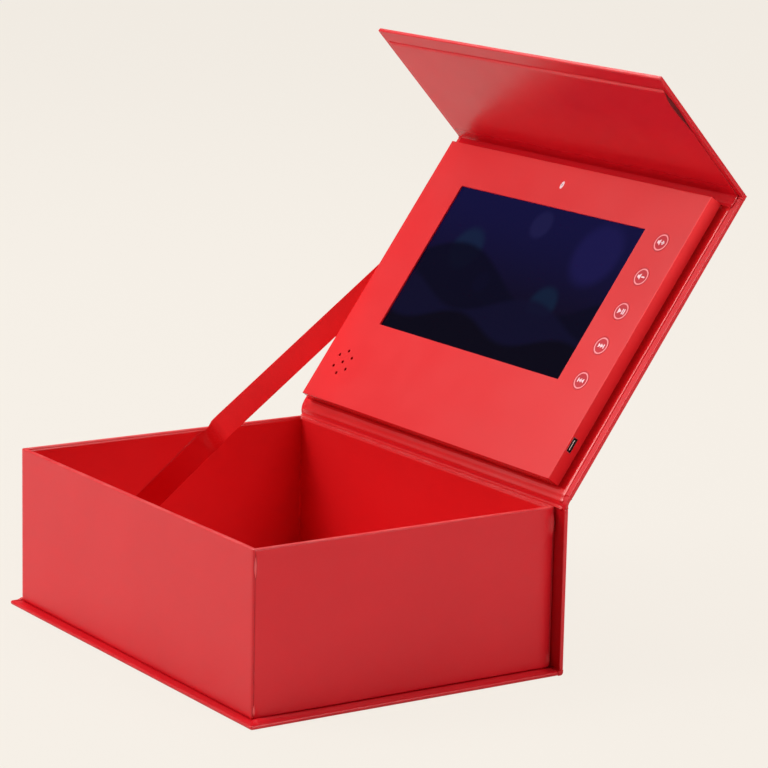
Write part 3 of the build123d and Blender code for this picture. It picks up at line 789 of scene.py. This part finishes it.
fold_inset = 0.1
strip_foot, strip_head = hinge_gap + fold_inset, lid_length - hinge_gap - fold_inset
base_strip_ends = (case_left + fold_inset, case_right - fold_inset)
lid_strip_ends = (lid_left + fold_inset, lid_right - fold_inset)
lid_hinge = fold_piece(
    "lid_hinge_paper",
    bent(
        (crease_y, rim_z - fold_inset),
        on(lid_place, 0, -board),
        on(lid_place, strip_foot, -board),
        0.35,
    ),
    bent(
        (crease_y - board + 0.50, rim_z - fold_inset),
        on(lid_place, -board * tan(lean / 2), -0.85),
        on(lid_place, strip_foot, -0.25),
        0.20,
    ),
    ((case_left + 1.9, base_strip_ends[1]), (lid_left + 1.7, lid_strip_ends[1])),
    11,
    cover,
)
flap_hinge = fold_piece(
    "flap_hinge_paper",
    bent(
        on(lid_place, strip_head, -board),
        on(lid_place, lid_length - 0.1, -board + 0.15),
        on(flap_place, strip_foot, -board),
        0.25,
    ),
    bent(
        on(lid_place, strip_head, -0.15),
        on(lid_place, lid_length - board * tan(fold / 2), -0.15),
        on(flap_place, strip_foot, -0.15),
        0.10,
    ),
    (lid_strip_ends, lid_strip_ends),
    13,
    cover,
)
soften(lid_hinge, 0.2, 2)
soften(flap_hinge, 0.2, 2)
bridge(lid_hinge, lid_crossing, "cover_paper", "lid_hinge_strip", "lid_hinge_liner")
bridge(flap_hinge, flap_crossing, "cover_paper", "flap_hinge_strip", "flap_hinge_liner")

round_fold = [(base_back - fold_inset, 0.02)]
round_fold += arc((crease_y - 1.5, 1.5), 1.48, -90, 0, 6)
round_fold += [(crease_y - 0.02, strip_foot)]
fold_inside = [(base_back - fold_inset, board - 0.02)]
fold_inside += [
    (base_back + 0.1 + 0.3 * i / 6, board - 0.02 + 0.4 * i / 6) for i in range(7)
]
fold_inside += [(crease_y - board + 0.02, strip_foot)]
base_fold = fold_piece(
    "base_fold", round_fold, fold_inside, (base_strip_ends, base_strip_ends), 15, cover, wander=0.0
)
soften(base_fold, 0.3)
attach(base_fold, "box", "cover_paper", "base_hinge_strip")


# ---------------------------------------------------------------- tray
def ring(inset, z, radius, seed, give):
    """Points round the tray, seen from above, with their edge marks."""
    left, right = tray_left + inset, tray_right - inset
    front, back = -tray_half_depth + inset, tray_half_depth - inset
    corners = [
        ((right - radius, front + radius), -90),
        ((right - radius, back - radius), 0),
        ((left + radius, back - radius), 90),
        ((left + radius, front + radius), 180),
    ]
    points, marks = [], []
    for index, (centre, start) in enumerate(corners):
        after = corners[(index + 1) % 4]
        turn = arc(centre, radius, start, start + 90, 4)
        following = arc(after[0], radius, after[1], after[1] + 90, 4)[0]
        points += turn
        marks += [1.0] * 5
        a, b = Vector(turn[-1]), Vector(following)
        out = Vector(((b - a).y, -(b - a).x)).normalized()
        for t in stations(0, 1, 0.035, 0.008)[1:-1]:
            sink = give * ripple(t * 200, z, seed + index) * sin(pi * t) ** 0.3
            points.append(tuple(a.lerp(b, t) - out * sink))
            marks.append(0.0)
    return points, marks


def ringed_shell(name, profile, seed, material):
    """A shell from rings of (inset, z, radius, edge mark, give), closed at its ends."""
    points, marks = [], []
    for inset, z, radius, mark, give in profile:
        around, corner_marks = ring(inset, z, radius, seed, give)
        for (x, y), corner in zip(around, corner_marks):
            lift = 0.10 * ripple(x, y, seed + 9, 0.03) if z > rim_z - 1.5 else 0.0
            points.append((x, y, z - lift))
            marks.append(max(mark, corner * 0.3) if material is rim_cover else 0.0)
    rings, count = len(profile), len(around)
    faces = laced(rings, count) + caps(rings, count)
    return piece(name, room, points, faces, material, marks)


wall_run = rim_z - board - 3.0
tray_profile = [(0.5, board, 0.5, 0.3, 0.0), (0.0, board + 0.5, 0.8, 0.4, 0.0)]
tray_profile += [(0.0, board + 1.5 + wall_run * i / 9, 0.8, 0.0, 0.1) for i in range(10)]
tray_profile += [
    (0.0, rim_z - 0.55, 0.8, 0.5, 0.0),
    (0.06, rim_z - 0.25, 0.8, 1.0, 0.0),
    (0.22, rim_z - 0.07, 0.7, 1.0, 0.0),
    (0.50, rim_z, 0.6, 0.8, 0.0),
    (1.70, rim_z, 0.5, 0.8, 0.0),
    (1.98, rim_z - 0.07, 0.45, 1.0, 0.0),
    (2.14, rim_z - 0.22, 0.4, 1.0, 0.0),
    (2.20, rim_z - 0.45, 0.4, 0.5, 0.0),
    (2.20, rim_z - 3.0, 0.4, 0.0, 0.0),
    (2.20, board + wall, 0.4, 0.0, 0.0),
]
tray_wrap = ringed_shell("tray_wrap", tray_profile, 20, rim_cover)
lining_profile = [(wall, board + wall + 0.02, 0.4, 0.0, 0.0)]
lining_profile += [(wall, rim_z - 0.5, 0.4, 0.0, 0.0), (wall + lining, rim_z - 0.55, 0.5, 0.0, 0.0)]
lining_profile += [
    (wall + lining, rim_z - 2.0 - (rim_z - board - wall - 4.0) * i / 8, 0.6, 0.0, -0.12)
    for i in range(9)
]
lining_profile += [
    (wall + lining, board + wall + 0.9, 0.6, 0.0, 0.0),
    (wall + lining + 0.2, board + wall + 0.4, 0.6, 0.0, 0.0),
    (wall + lining + 0.7, board + wall + 0.32, 0.6, 0.0, 0.0),
]
tray_inside = ringed_shell("tray_inside", lining_profile, 30, inside_paper)
attach(tray_wrap, "box", "cover_paper", "tray")
attach(tray_inside, "box", "lining_paper", "tray_lining")


def side_place(face_x, out):
    """A place on a short side of the tray: (y, z, off the face)."""
    turn = Matrix(((0, 0, out, 0), (out, 0, 0, 0), (0, 1, 0, 0), (0, 0, 0, 1)))
    return Matrix.Translation((face_x * MM, 0, 0)) @ turn @ Matrix.Scale(MM, 4)


def side_paper(name, place, seed):
    """The paper glued over a short side, its cut ends just short of the corners."""
    reach = tray_half_depth - 1.04
    curls = ((71.5, 5.5, 0.9), (6.5, 3.0, 0.7))

    def surface(y, z):
        near_end = max(0.0, 1 - (reach - abs(y)) / 1.6)
        lift = 0.22
        for at, long, high in curls:
            lift += high * near_end * max(0.0, 1 - ((z - at) / long) ** 2)
        drift = 0.22 * (ripple(z, 0, seed + 1, 0.04) - 0.5) if near_end > 0.9 else 0.0
        return (y + drift, z, lift - 0.06 * ripple(y, z, seed + 2))

    def worn(y, z):
        return max(0.0, *(1 - ((z - at) / (long * 1.3)) ** 2 for at, long, _ in curls))

    ys = [-reach, -reach + 0.4, -reach + 0.9, *stations(-reach + 1.6, reach - 1.6, 7.0, 2.0)]
    ys += [reach - 0.9, reach - 0.4, reach]
    zs = stations(board + 0.4, rim_z - 0.6, 1.6, 0.4)
    return slab(name, place, ys, zs, surface, sheet_paper, cut_cover, worn)


def corner_lap(name, place, end, seed):
    """The long side's paper, turned a little way round the corner onto the short side."""
    near, far = tray_half_depth - 0.30, tray_half_depth - 0.86

    def surface(y, z):
        at_cut = abs(y) < (near + far) / 2
        wander = 0.16 * (ripple(z, end * 9, seed, 0.06) - 0.5) * at_cut
        return (y + wander, z, 0.17 if at_cut else 0.04)

    across = (far, near) if end > 0 else (-near, -far)
    ys = [across[0], sum(across) / 2, across[1]]
    zs = stations(board + 0.6, rim_z - 0.9, 2.0, 0.3)
    return slab(name, place, ys, zs, surface, 0.16, cover)


def lifted_lip(name, place, at, long, wide):
    """A sliver of the cut end that has come up off the corner and shows its raw edge."""

    def surface(share, z):
        bow = max(0.0, 1 - ((z - at) / long) ** 2)
        y = -(tray_half_depth - 1.0) + (share - 0.6) * wide * bow
        return (y, z, 0.30 + 0.55 * bow * share)

    zs = stations(at - long, at + long, 1.2, 0.3)
    return slab(name, place, [0.0, 0.5, 1.0], zs, surface, 0.12, raw_edge)


for side, face_x, out, seed in (("right", tray_right, 1, 41), ("left", tray_left, -1, 44)):
    place = side_place(face_x, out)
    things = [
        side_paper(f"{side}_side_paper", place, seed),
        lifted_lip(f"{side}_upper_lip", place, 71.5, 4.8, 0.9),
        lifted_lip(f"{side}_lower_lip", place, 6.2, 2.6, 0.8),
    ]
    for corner, end in (("front", -1), ("back", 1)):
        things.append(corner_lap(f"{side}_{corner}_lap", place, end, seed + end))
        # A dark strip in the seam: a glue line, darkened as painted seam shadow.
        glue = slab(
            f"{side}_{corner}_glue_and_seam_shadow",
            place,
            [end * (tray_half_depth - 1.25), end * (tray_half_depth - 0.80)][::end],
            stations(board + 0.7, rim_z - 1.0, 4.0, 0.5),
            lambda y, z: (y, z, 0.09),
            0.10,
            glue_and_seam_shadow,
        )
        things.append(glue)
    for thing in things:
        attach(thing, "box", "cover_paper")


# ---------------------------------------------------------------- liners
liner_left, liner_right = lid_left + 3.2, lid_right - 3.2
liner_tip = flap_length - 7.4
unstuck_from = 42.0
module_edge_s = module_head + 0.2
lid_liner_right = 113.6


def unstuck(u):
    """From 0 to 1: how far the liner has drawn back from the flap's margin at u."""
    return sin(pi * ramp((u - unstuck_from) / (liner_tip - unstuck_from)) ** 1.5)


lid_heights = [module_edge_s - (module_edge_s - 7.0) * i / 51 for i in range(52)]
lid_heights += [5.5, 4.9, 4.3, 3.7]
lid_path = [on(lid_place, s, 0.30) for s in lid_heights]
for s, h in ((3.0, 0.33), (2.5, 0.33), (2.0, 0.16), (1.4, -0.14), (0.8, -0.30), (0.2, -0.30)):
    lid_path.append(on(lid_place, s, h))
# Down the inside of the fold and on to the tray's back rim, as (y, z).
lid_path += [(81.28, 82.98), (81.44, 82.55), (81.62, 81.9), (81.66, 81.1), (81.5, 80.4)]
lid_path += [(81.25, 80.02), (80.9, 79.86), (80.45, 79.84)]


def lid_shade(x, j):
    """Painted shade on the lining beside and below the module, where it lies in the module's
    corner.
    """
    s = lid_heights[j] if j < len(lid_heights) else 0.0
    if s > module_foot:
        return ramp((module_right + 6.2 - x) / 1.4) if x > module_right else 1.0
    below = 0.6 * ramp((s - 4.0) / 1.2)
    return below * ramp((module_right + 3.0 - x) / 3.0) * ramp((x - module_left + 3) / 3)


def lid_lift(x, j):
    """Flat on the board, and rolled down over its right edge."""
    return -0.18 * max(0.0, 1 - (lid_liner_right - 0.2 - x) / 0.8)


lid_liner = creased_sheet(
    "lid_liner_sheet",
    lid_path,
    [lid_out] * len(lid_path),
    lambda t: (liner_left + 1.1 * t, lid_liner_right - 0.9 * t + 1.6 * t**3),
    lid_lift,
    lid_shade,
    50,
    inside_paper,
)
bridge(lid_liner, lid_crossing, "lining_paper", "lid_liner")

flap_path = [on(lid_place, module_edge_s - 0.4, 0.36)]
for s, h in ((162.0, 0.33), (164.0, 0.30), (165.2, 0.33), (165.75, 0.46)):
    flap_path.append(on(lid_place, s, h))
flap_ways = [lid_out] * len(flap_path)
flap_path.append(on(flap_place, 2.15, 0.46))
flap_heights = [2.8, 3.4, 4.4, 6.0] + [8.5 + (liner_tip - 8.5) * i / 24 for i in range(25)]
flap_us = [0.0] * len(flap_path) + flap_heights
flap_path += [on(flap_place, u, 0.30) for u in flap_heights]
flap_ways += [flap_out] * (len(flap_path) - len(flap_ways))
# Painted shade along the crease, row by row.
crease_shades = (0.2, 0.2, 0.25, 0.3, 0.3, 0.3, 0.3, 0.3, 0.25, 0.15, 0.08)


def flap_shade(x, j):
    """Painted shade, a little deeper along the crease."""
    return crease_shades[j] if j < len(crease_shades) else 0.0


def flap_lift(x, j):
    """The magnets' faint rounds, and a tip pressed down flat towards the left."""
    away = min(Vector((x - side * magnet_x, flap_us[j] - magnet_s)).length for side in (-1, 1))
    tip = max(0.0, 1 - (len(flap_us) - 1 - j) / 2)
    return 0.10 * ramp((7.2 - away) / 1.6) - 0.17 * ramp(0.45 - x / 200) * tip


def flap_liner_ends(t):
    """Its right end widens towards the tip and is drawn in where it has come unstuck."""
    sheet_length, before_fold = 77.8, 5.5
    widened = 1.0 * max(0.0, (t - 0.5) / 0.5) ** 2
    drawn_in = 2.9 * unstuck(sheet_length * t - before_fold)
    return (liner_left, liner_right + widened - drawn_in)


flap_liner = creased_sheet(
    "flap_liner_sheet", flap_path, flap_ways, flap_liner_ends, flap_lift, flap_shade, 60, cover
)
bridge(flap_liner, flap_crossing, "lining_paper", "flap_liner")

# A dark strip under the unstuck edge of the flap's liner: painted shadow.
painted_gap_shadow_strip = slab(
    "painted_gap_shadow_strip",
    flap_place,
    [0.0, 0.5, 1.0],
    stations(unstuck_from + 0.5, flap_length - 8.0, 1.5, 0.4),
    lambda share, u: (liner_right - 0.5 + unstuck(u) * (1.7 * share - 3.0 * (1 - share)), u, 0.07),
    0.08,
    painted_gap_shadow,
)
attach(painted_gap_shadow_strip, "flap", "lining_paper")


def ledge_turn_in(name, near, far, side, seed):
    """Cover paper turned in over the base's side, on top of the front's, with a full fold."""
    back = base_back - 0.4
    flap_line = tray_half_depth + 0.5
    pad_height, pad_length = 1.1, 42.0

    def surface(x, t):
        out = (x - near) / (far - near)
        front = -(tray_half_depth - 0.4) - out * (-base_front - 0.75 - tray_half_depth + 0.4)
        front -= 0.9 * sin(pi * min(1.0, out * 1.02)) ** 0.8 * max(0.0, 1 - t / 0.03)
        y = front + (back - front) * t
        wander = 0.1 * (ripple(x * 8, 0, seed) - 0.5) if t == 0 else 0.0
        behind_flap = y + flap_line
        pad = pad_height * sin(pi * out**0.8) * ramp(behind_flap / 1.2) ** 0.5
        pad *= max(0.0, 1 - behind_flap / pad_length)
        return (x, y + wander, 0.14 + pad - 0.45 * out**5)

    xs = [near + (far - near) * i / 8 for i in range(9)]
    ts = [0.003 * i for i in range(15)] + [0.05 + 0.95 * i / 24 for i in range(25)]
    if side < 0:
        xs = xs[::-1]
    return slab(name, base_place, xs, ts, surface, sheet_paper, cover)


for name, near, far, side, seed in (
    ("right_turn_in", tray_right + 0.3, case_right - 0.5, 1, 71),
    ("left_turn_in", tray_left - 0.3, case_left + 0.5, -1, 72),
):
    attach(ledge_turn_in(name, near, far, side, seed), "box", "cover_paper")


# ---------------------------------------------------------------- ribbon stay
ribbon_x = -109.45
ribbon_width, ribbon_thickness = 13.8, 0.14
ribbon_bend = 28.0
slack_height, slack_length, slack_below_rim = 1.5, 7.5, 9.0
ribbon_foot = Vector((-55.0, 11.2))
ribbon_rim = Vector((32.0, rim_z))
ribbon_head = Vector(on(lid_place, 83.2, 0.1))
ribbon_lower = (ribbon_rim - ribbon_foot).length
ribbon_upper = (ribbon_head - ribbon_rim).length
ribbon_length = ribbon_lower + ribbon_upper
ribbon_crossing = ("box", "lid", (ribbon_x, *ribbon_foot), (ribbon_x, 122.4, 136.0))


def ribbon_stay():
    """One length of satin: up the wall, slack at the rim, then taut to the lid.

    Its upper end is cut slanting, along the lid, and its edges on the wall are pressed thin.
    """
    up_wall = (ribbon_rim - ribbon_foot).normalized()
    rise = (ribbon_head - ribbon_rim).normalized()
    lid_run = (Vector(on(lid_place, 1.0, 0.0)) - Vector(on(lid_place, 0.0, 0.0))).normalized()
    slant = ribbon_width / tan(rise.angle(lid_run))
    across = [-0.5, -0.487, *(k / 9 - 0.5 for k in range(1, 9)), 0.487, 0.5]
    rows, columns = 150, len(across)
    points, uv, deep, full = [], [], [], []
    for j in range(rows + 1):
        t = ribbon_length * j / rows
        past_rim = t - ribbon_lower
        if past_rim < 0:
            middle = ribbon_foot.lerp(ribbon_rim, t / ribbon_lower)
        else:
            middle = ribbon_rim.lerp(ribbon_head, past_rim / ribbon_upper)
        turn = ramp((past_rim + ribbon_bend / 2) / ribbon_bend)
        along = up_wall.lerp(rise, turn * turn * (3 - 2 * turn))
        side = Vector((-along.y, along.x)).normalized()
        slack = (past_rim + slack_below_rim) / slack_length
        wave = slack_height * (2.718 ** (-slack * slack)) * cos(slack * 2.2)
        for v in across:
            cup = 0.10 * cos(pi * v) * (past_rim > 0)
            place = middle + side * (ribbon_width * v)
            place += rise * (slant * v * max(0.0, past_rim / ribbon_upper) ** 2)
            if abs(v) < 0.49 or past_rim > -4:
                full.append(len(points))
            leaned = max(wave * (1.0 + 0.9 * v), -0.02)
            points.append((ribbon_x + leaned + cup, place.x, place.y))
            uv.append((t * MM, (v + 0.5) * ribbon_width * MM))
            # Painted shade on the tail inside the tray, deeper further down.
            deep.append(0.6 * ramp((-1 - past_rim) / 5) + 0.4 * ramp(-past_rim / 45))
    faces = []
    for j in range(rows):
        for a in range(j * columns, (j + 1) * columns - 1):
            faces.append((a, a + 1, a + columns + 1, a + columns))
    thing = piece("ribbon_stay_satin", room, points, faces, satin, uv=uv, deep=deep)
    thing.vertex_groups.new(name="full thickness").add(full, 1.0, "REPLACE")
    return thing


ribbon = ribbon_stay()
weave = ribbon.modifiers.new("thickness", "SOLIDIFY")
weave.thickness = ribbon_thickness * MM
weave.offset = 0
weave.vertex_group = "full thickness"
weave.thickness_vertex_group = 0.1
# Its shadow would draw a dark line along the module.
ribbon.visible_shadow = False
bridge(ribbon, ribbon_crossing, "ribbon", "ribbon_stay")


# ---------------------------------------------------------------- screen
def screen_pane():
    """The glass of the panel, lit from behind, its picture as wide as the window."""
    side_margin, end_margin = 4.6, 7.1
    card, gasket, glass = 0.9, 0.4, 1.1
    top = module_depth - card - gasket
    xs = stations(window_left - side_margin, window_right + side_margin, 20.0, 0.6)
    ss = stations(window_foot - end_margin, window_head + end_margin, 20.0, 0.6)
    points = [(x, s, h) for h in (top - glass, top) for s in ss for x in xs]
    width, height = window_right - window_left, window_head - window_foot
    uv = [((x - window_left) / width, (s - window_foot) / height) for x, s, _ in points]
    faces = slab_faces(len(xs), len(ss))
    return piece("screen_pane", lid_place, points, faces, screen, uv=uv)


pane = soften(screen_pane(), 0.2, 2)
attach(pane, "lid", "screen_glass", "screen_glass")


# ---------------------------------------------------------------- keys
ink_low, ink_high = module_depth + 0.005, module_depth + 0.045


def round_outline(across, up, steps):
    """Points round an oval, counter-clockwise."""
    turns = [2 * pi * i / steps for i in range(steps)]
    return [(across * cos(t), up * sin(t)) for t in turns]


def ink_ring(centre, outer, inner):
    """A printed ring, as points and faces."""
    steps = 64
    points = [
        (centre[0] + x, centre[1] + s, h)
        for radius, h in ((outer, ink_low), (outer, ink_high), (inner, ink_high), (inner, ink_low))
        for x, s in round_outline(radius, radius, steps)
    ]
    return points, laced(4, steps, closed=True)


def ink_shape(centre, outline, top=ink_high):
    """A flat printed shape with a little thickness, its outline counter-clockwise."""
    count = len(outline)
    points = [(centre[0] + x, centre[1] + s, h) for h in (ink_low, top) for x, s in outline]
    return points, caps(2, count) + laced(2, count)


def bar(x, s, width, height):
    w, h = width / 2, height / 2
    return [(x - w, s - h), (x + w, s - h), (x + w, s + h), (x - w, s + h)]


def arrow(x, s, size, way):
    back, tip, half = x - size / 2 * way, x + size / 2 * way, size * 0.6
    points = [(back, s - half), (tip, s), (back, s + half)]
    return points if way > 0 else points[::-1]


speaker_mark = [(-2.6, -0.75), (-1.7, -0.75), (-0.5, -1.65)]
speaker_mark += [(x, -s) for x, s in speaker_mark[::-1]]
signs = {
    "volume_up": [speaker_mark, bar(1.3, 0, 2.2, 0.8), bar(1.3, 0, 0.8, 2.2)],
    "volume_down": [speaker_mark, bar(1.3, 0, 2.2, 0.8)],
    "play": [arrow(-1.1, 0, 2.5, 1), bar(0.95, 0, 0.75, 2.9), bar(2.15, 0, 0.75, 2.9)],
    "next": [arrow(-1.1, 0, 1.9, 1), arrow(0.7, 0, 1.9, 1), bar(2.0, 0, 0.7, 2.2)],
    "previous": [arrow(1.1, 0, 1.9, -1), arrow(-0.7, 0, 1.9, -1), bar(-2.0, 0, 0.7, 2.2)],
}
keys_below_window = 1.1
first_key_s = (window_foot + window_head) / 2 - keys_below_window - 2 * button_pitch
tint_radius, ring_outer, ring_inner = 3.95, 4.4, 3.72
for index, key in enumerate(key_names):
    centre = (button_x, first_key_s + index * button_pitch)
    tint = ink_shape(centre, arc((0, 0), tint_radius, 0, 352.5, 47), ink_low + 0.015)
    points, faces = [], []
    for outline in signs[key]:
        more, sides = ink_shape(centre, outline)
        faces += [tuple(n + len(points) for n in side) for side in sides]
        points += more
    for what, (shape_points, shape_faces), material in (
        ("tint", tint, key_tint),
        ("ring", ink_ring(centre, ring_outer, ring_inner), ring_ink),
        ("print", (points, faces), ink),
    ):
        print_name = f"{key}_{what}"
        thing = piece(print_name, lid_place, shape_points, shape_faces, material, smooth=False)
        attach(thing, f"{key}_button", "button_plastic")


# ---------------------------------------------------------------- light sensor's eye
oval = ink_shape((sensor_x + 0.15, sensor_s), round_outline(1.2, 2.15, 32), ink_low + 0.012)
sensor_oval = piece("sensor_oval", lid_place, *oval, ink, smooth=False)
attach(sensor_oval, "lid", "black_plastic")
steps = 24
points = [(sensor_x, sensor_s, module_depth + 0.05)]
for x, s in round_outline(0.42, 0.42, steps):
    points.append((sensor_x + x, sensor_s + s, module_depth + 0.01))
faces = [(0, 1 + i, 1 + (i + 1) % steps) for i in range(steps)]
faces.append(tuple(range(steps, 0, -1)))
sensor_eye = piece("sensor_eye", lid_place, points, faces, eye)
attach(sensor_eye, "lid", "black_plastic")


# ---------------------------------------------------------------- charging port
port_s, port_h, port_width, port_height, port_depth = 24.9, 5.2, 7.6, 2.8, 5.6


def outline(width, height, radius):
    """A rounded rectangle in (s, h) about the port's middle."""
    points = []
    for sign_s, sign_h, start in ((1, 1, 0), (-1, 1, 90), (-1, -1, 180), (1, -1, 270)):
        centre = (sign_s * (width / 2 - radius), sign_h * (height / 2 - radius))
        points += arc(centre, radius, start, start + 90, 4)
    return [(port_s + s, port_h + h) for s, h in points]


def drawn_tube(name, slot, material, *rings):
    """Rings of (outline, x) joined in order, its two ends capped."""
    points = [(x, s, h) for shape, x in rings for s, h in shape]
    count = len(rings[0][0])
    faces = laced(len(rings), count) + caps(len(rings), count)
    thing = piece(name, lid_place, points, faces, material, smooth=False)
    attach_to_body(thing, "lid")
    return thing


mouth, throat = module_right + 0.04, module_right - port_depth
outer_wall = outline(port_width, port_height, 0.5)
inner_wall = outline(port_width - 0.44, port_height - 0.44, 0.3)
bore = outline(port_width - 0.52, port_height - 0.52, 0.28)
tongue_wall = outline(port_width - 2.0, 0.62, 0.1)
contact_wall = outline(port_width - 2.3, 0.34, 0.05)
port_shell = drawn_tube(
    "port_shell",
    "port_steel",
    port_steel,
    (inner_wall, throat + 0.4),
    (inner_wall, mouth),
    (outer_wall, mouth),
    (outer_wall, throat),
)
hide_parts("usb_port")
drawn_tube(
    "port_bore",
    "black_plastic",
    black_plastic,
    (bore, throat + 2.0),
    (bore, mouth - 0.25),
    (inner_wall, mouth - 0.25),
    (inner_wall, throat + 0.6),
)
drawn_tube(
    "port_tongue",
    "black_plastic",
    black_plastic,
    (tongue_wall, mouth - 0.3),
    (tongue_wall, throat + 1.0),
)
# Real contacts on the tongue, drawn pale as a painted highlight along it.
drawn_tube(
    "port_contacts_painted_highlight", "port_steel", lens, (contact_wall, mouth - 0.18), (contact_wall, mouth - 0.6)
)


# ---------------------------------------------------------------- floor
def floor_finish():
    """Pale floor: even to the eye and in reflections, and it still takes the shadow."""
    material = bpy.data.materials.new("studio floor")
    material.use_nodes = True
    tree = material.node_tree
    tree.nodes.clear()
    out = add(tree, "ShaderNodeOutputMaterial")
    matte = add(tree, "ShaderNodeBsdfDiffuse", {"Color": (0.86, 0.83, 0.79, 1)})
    glow = add(tree, "ShaderNodeEmission", {"Color": cream})
    path = add(tree, "ShaderNodeLightPath")
    seen = maths(tree, "ADD", path.outputs["Is Camera Ray"], path.outputs["Is Transmission Ray"])
    mirrored = path.outputs["Is Glossy Ray"]
    share = maths(tree, "ADD", times(tree, seen, 0.96), times(tree, mirrored, 0.48))
    level = maths(tree, "ADD", seen, times(tree, mirrored, 0.22))
    join(tree, (level, glow.inputs["Strength"]))
    blend = add(tree, "ShaderNodeMixShader")
    join(
        tree,
        (share, blend.inputs["Fac"]),
        (matte.outputs[0], blend.inputs[1]),
        (glow.outputs[0], blend.inputs[2]),
        (blend.outputs[0], out.inputs["Surface"]),
    )
    return material


floor_size = 15000.0
floor = piece(
    "studio_floor",
    room,
    [(x, y, -0.05) for y in (-floor_size, floor_size) for x in (-floor_size, floor_size)],
    [(0, 1, 3, 2)],
    floor_finish(),
)


# ---------------------------------------------------------------- light
world = bpy.data.worlds.new("studio")
bpy.context.scene.world = world
world.use_nodes = True
tree = world.node_tree
tree.nodes.clear()
out = add(tree, "ShaderNodeOutputWorld")
air = add(tree, "ShaderNodeBackground", {"Color": (1.0, 0.985, 0.96, 1), "Strength": 0.03})
sight = add(tree, "ShaderNodeBackground", {"Color": cream, "Strength": 1.0})
path = add(tree, "ShaderNodeLightPath")
pick = add(tree, "ShaderNodeMixShader")
join(
    tree,
    (path.outputs["Is Camera Ray"], pick.inputs["Fac"]),
    (air.outputs[0], pick.inputs[1]),
    (sight.outputs[0], pick.inputs[2]),
    (pick.outputs[0], out.inputs["Surface"]),
)


middle = Vector((0, 0.03, 0.12))
for name, turn, height, distance, power in (
    ("left low soft light", 240, 20, 1.9, 8.5),
    ("left high soft light", 235, 45, 1.9, 23.5),
    ("right soft light", 18, 30, 1.5, 10.3),
    ("back soft light", 160, 50, 1.9, 16.0),
    ("top soft light", 270, 89, 1.9, 10.0),
):
    flat = cos(radians(height))
    away = Vector((flat * cos(radians(turn)), flat * sin(radians(turn)), sin(radians(height))))
    place = middle + away * distance
    side = 0.53 * distance
    lamp = bpy.data.lights.new(name, "AREA")
    lamp.shape = "RECTANGLE"
    lamp.size, lamp.size_y = side, 0.9 * side
    lamp.energy = power
    lamp.color = (1, 0.98, 0.95)
    thing = bpy.data.objects.new(name, lamp)
    bpy.context.scene.collection.objects.link(thing)
    thing.location = place
    thing.rotation_euler = (middle - place).to_track_quat("-Z", "Y").to_euler()


# ---------------------------------------------------------------- camera
view = bpy.data.cameras.new("camera")
view.sensor_width, view.lens = 36.0, 151.737
camera = bpy.data.objects.new("camera", view)
bpy.context.scene.collection.objects.link(camera)
camera.location = (1.27655, -0.78674, 0.44131)
camera.rotation_euler = (radians(78.1154), radians(-1.1891), radians(56.7865))
bpy.context.scene.camera = camera
bpy.context.scene.view_settings.view_transform = "Standard"
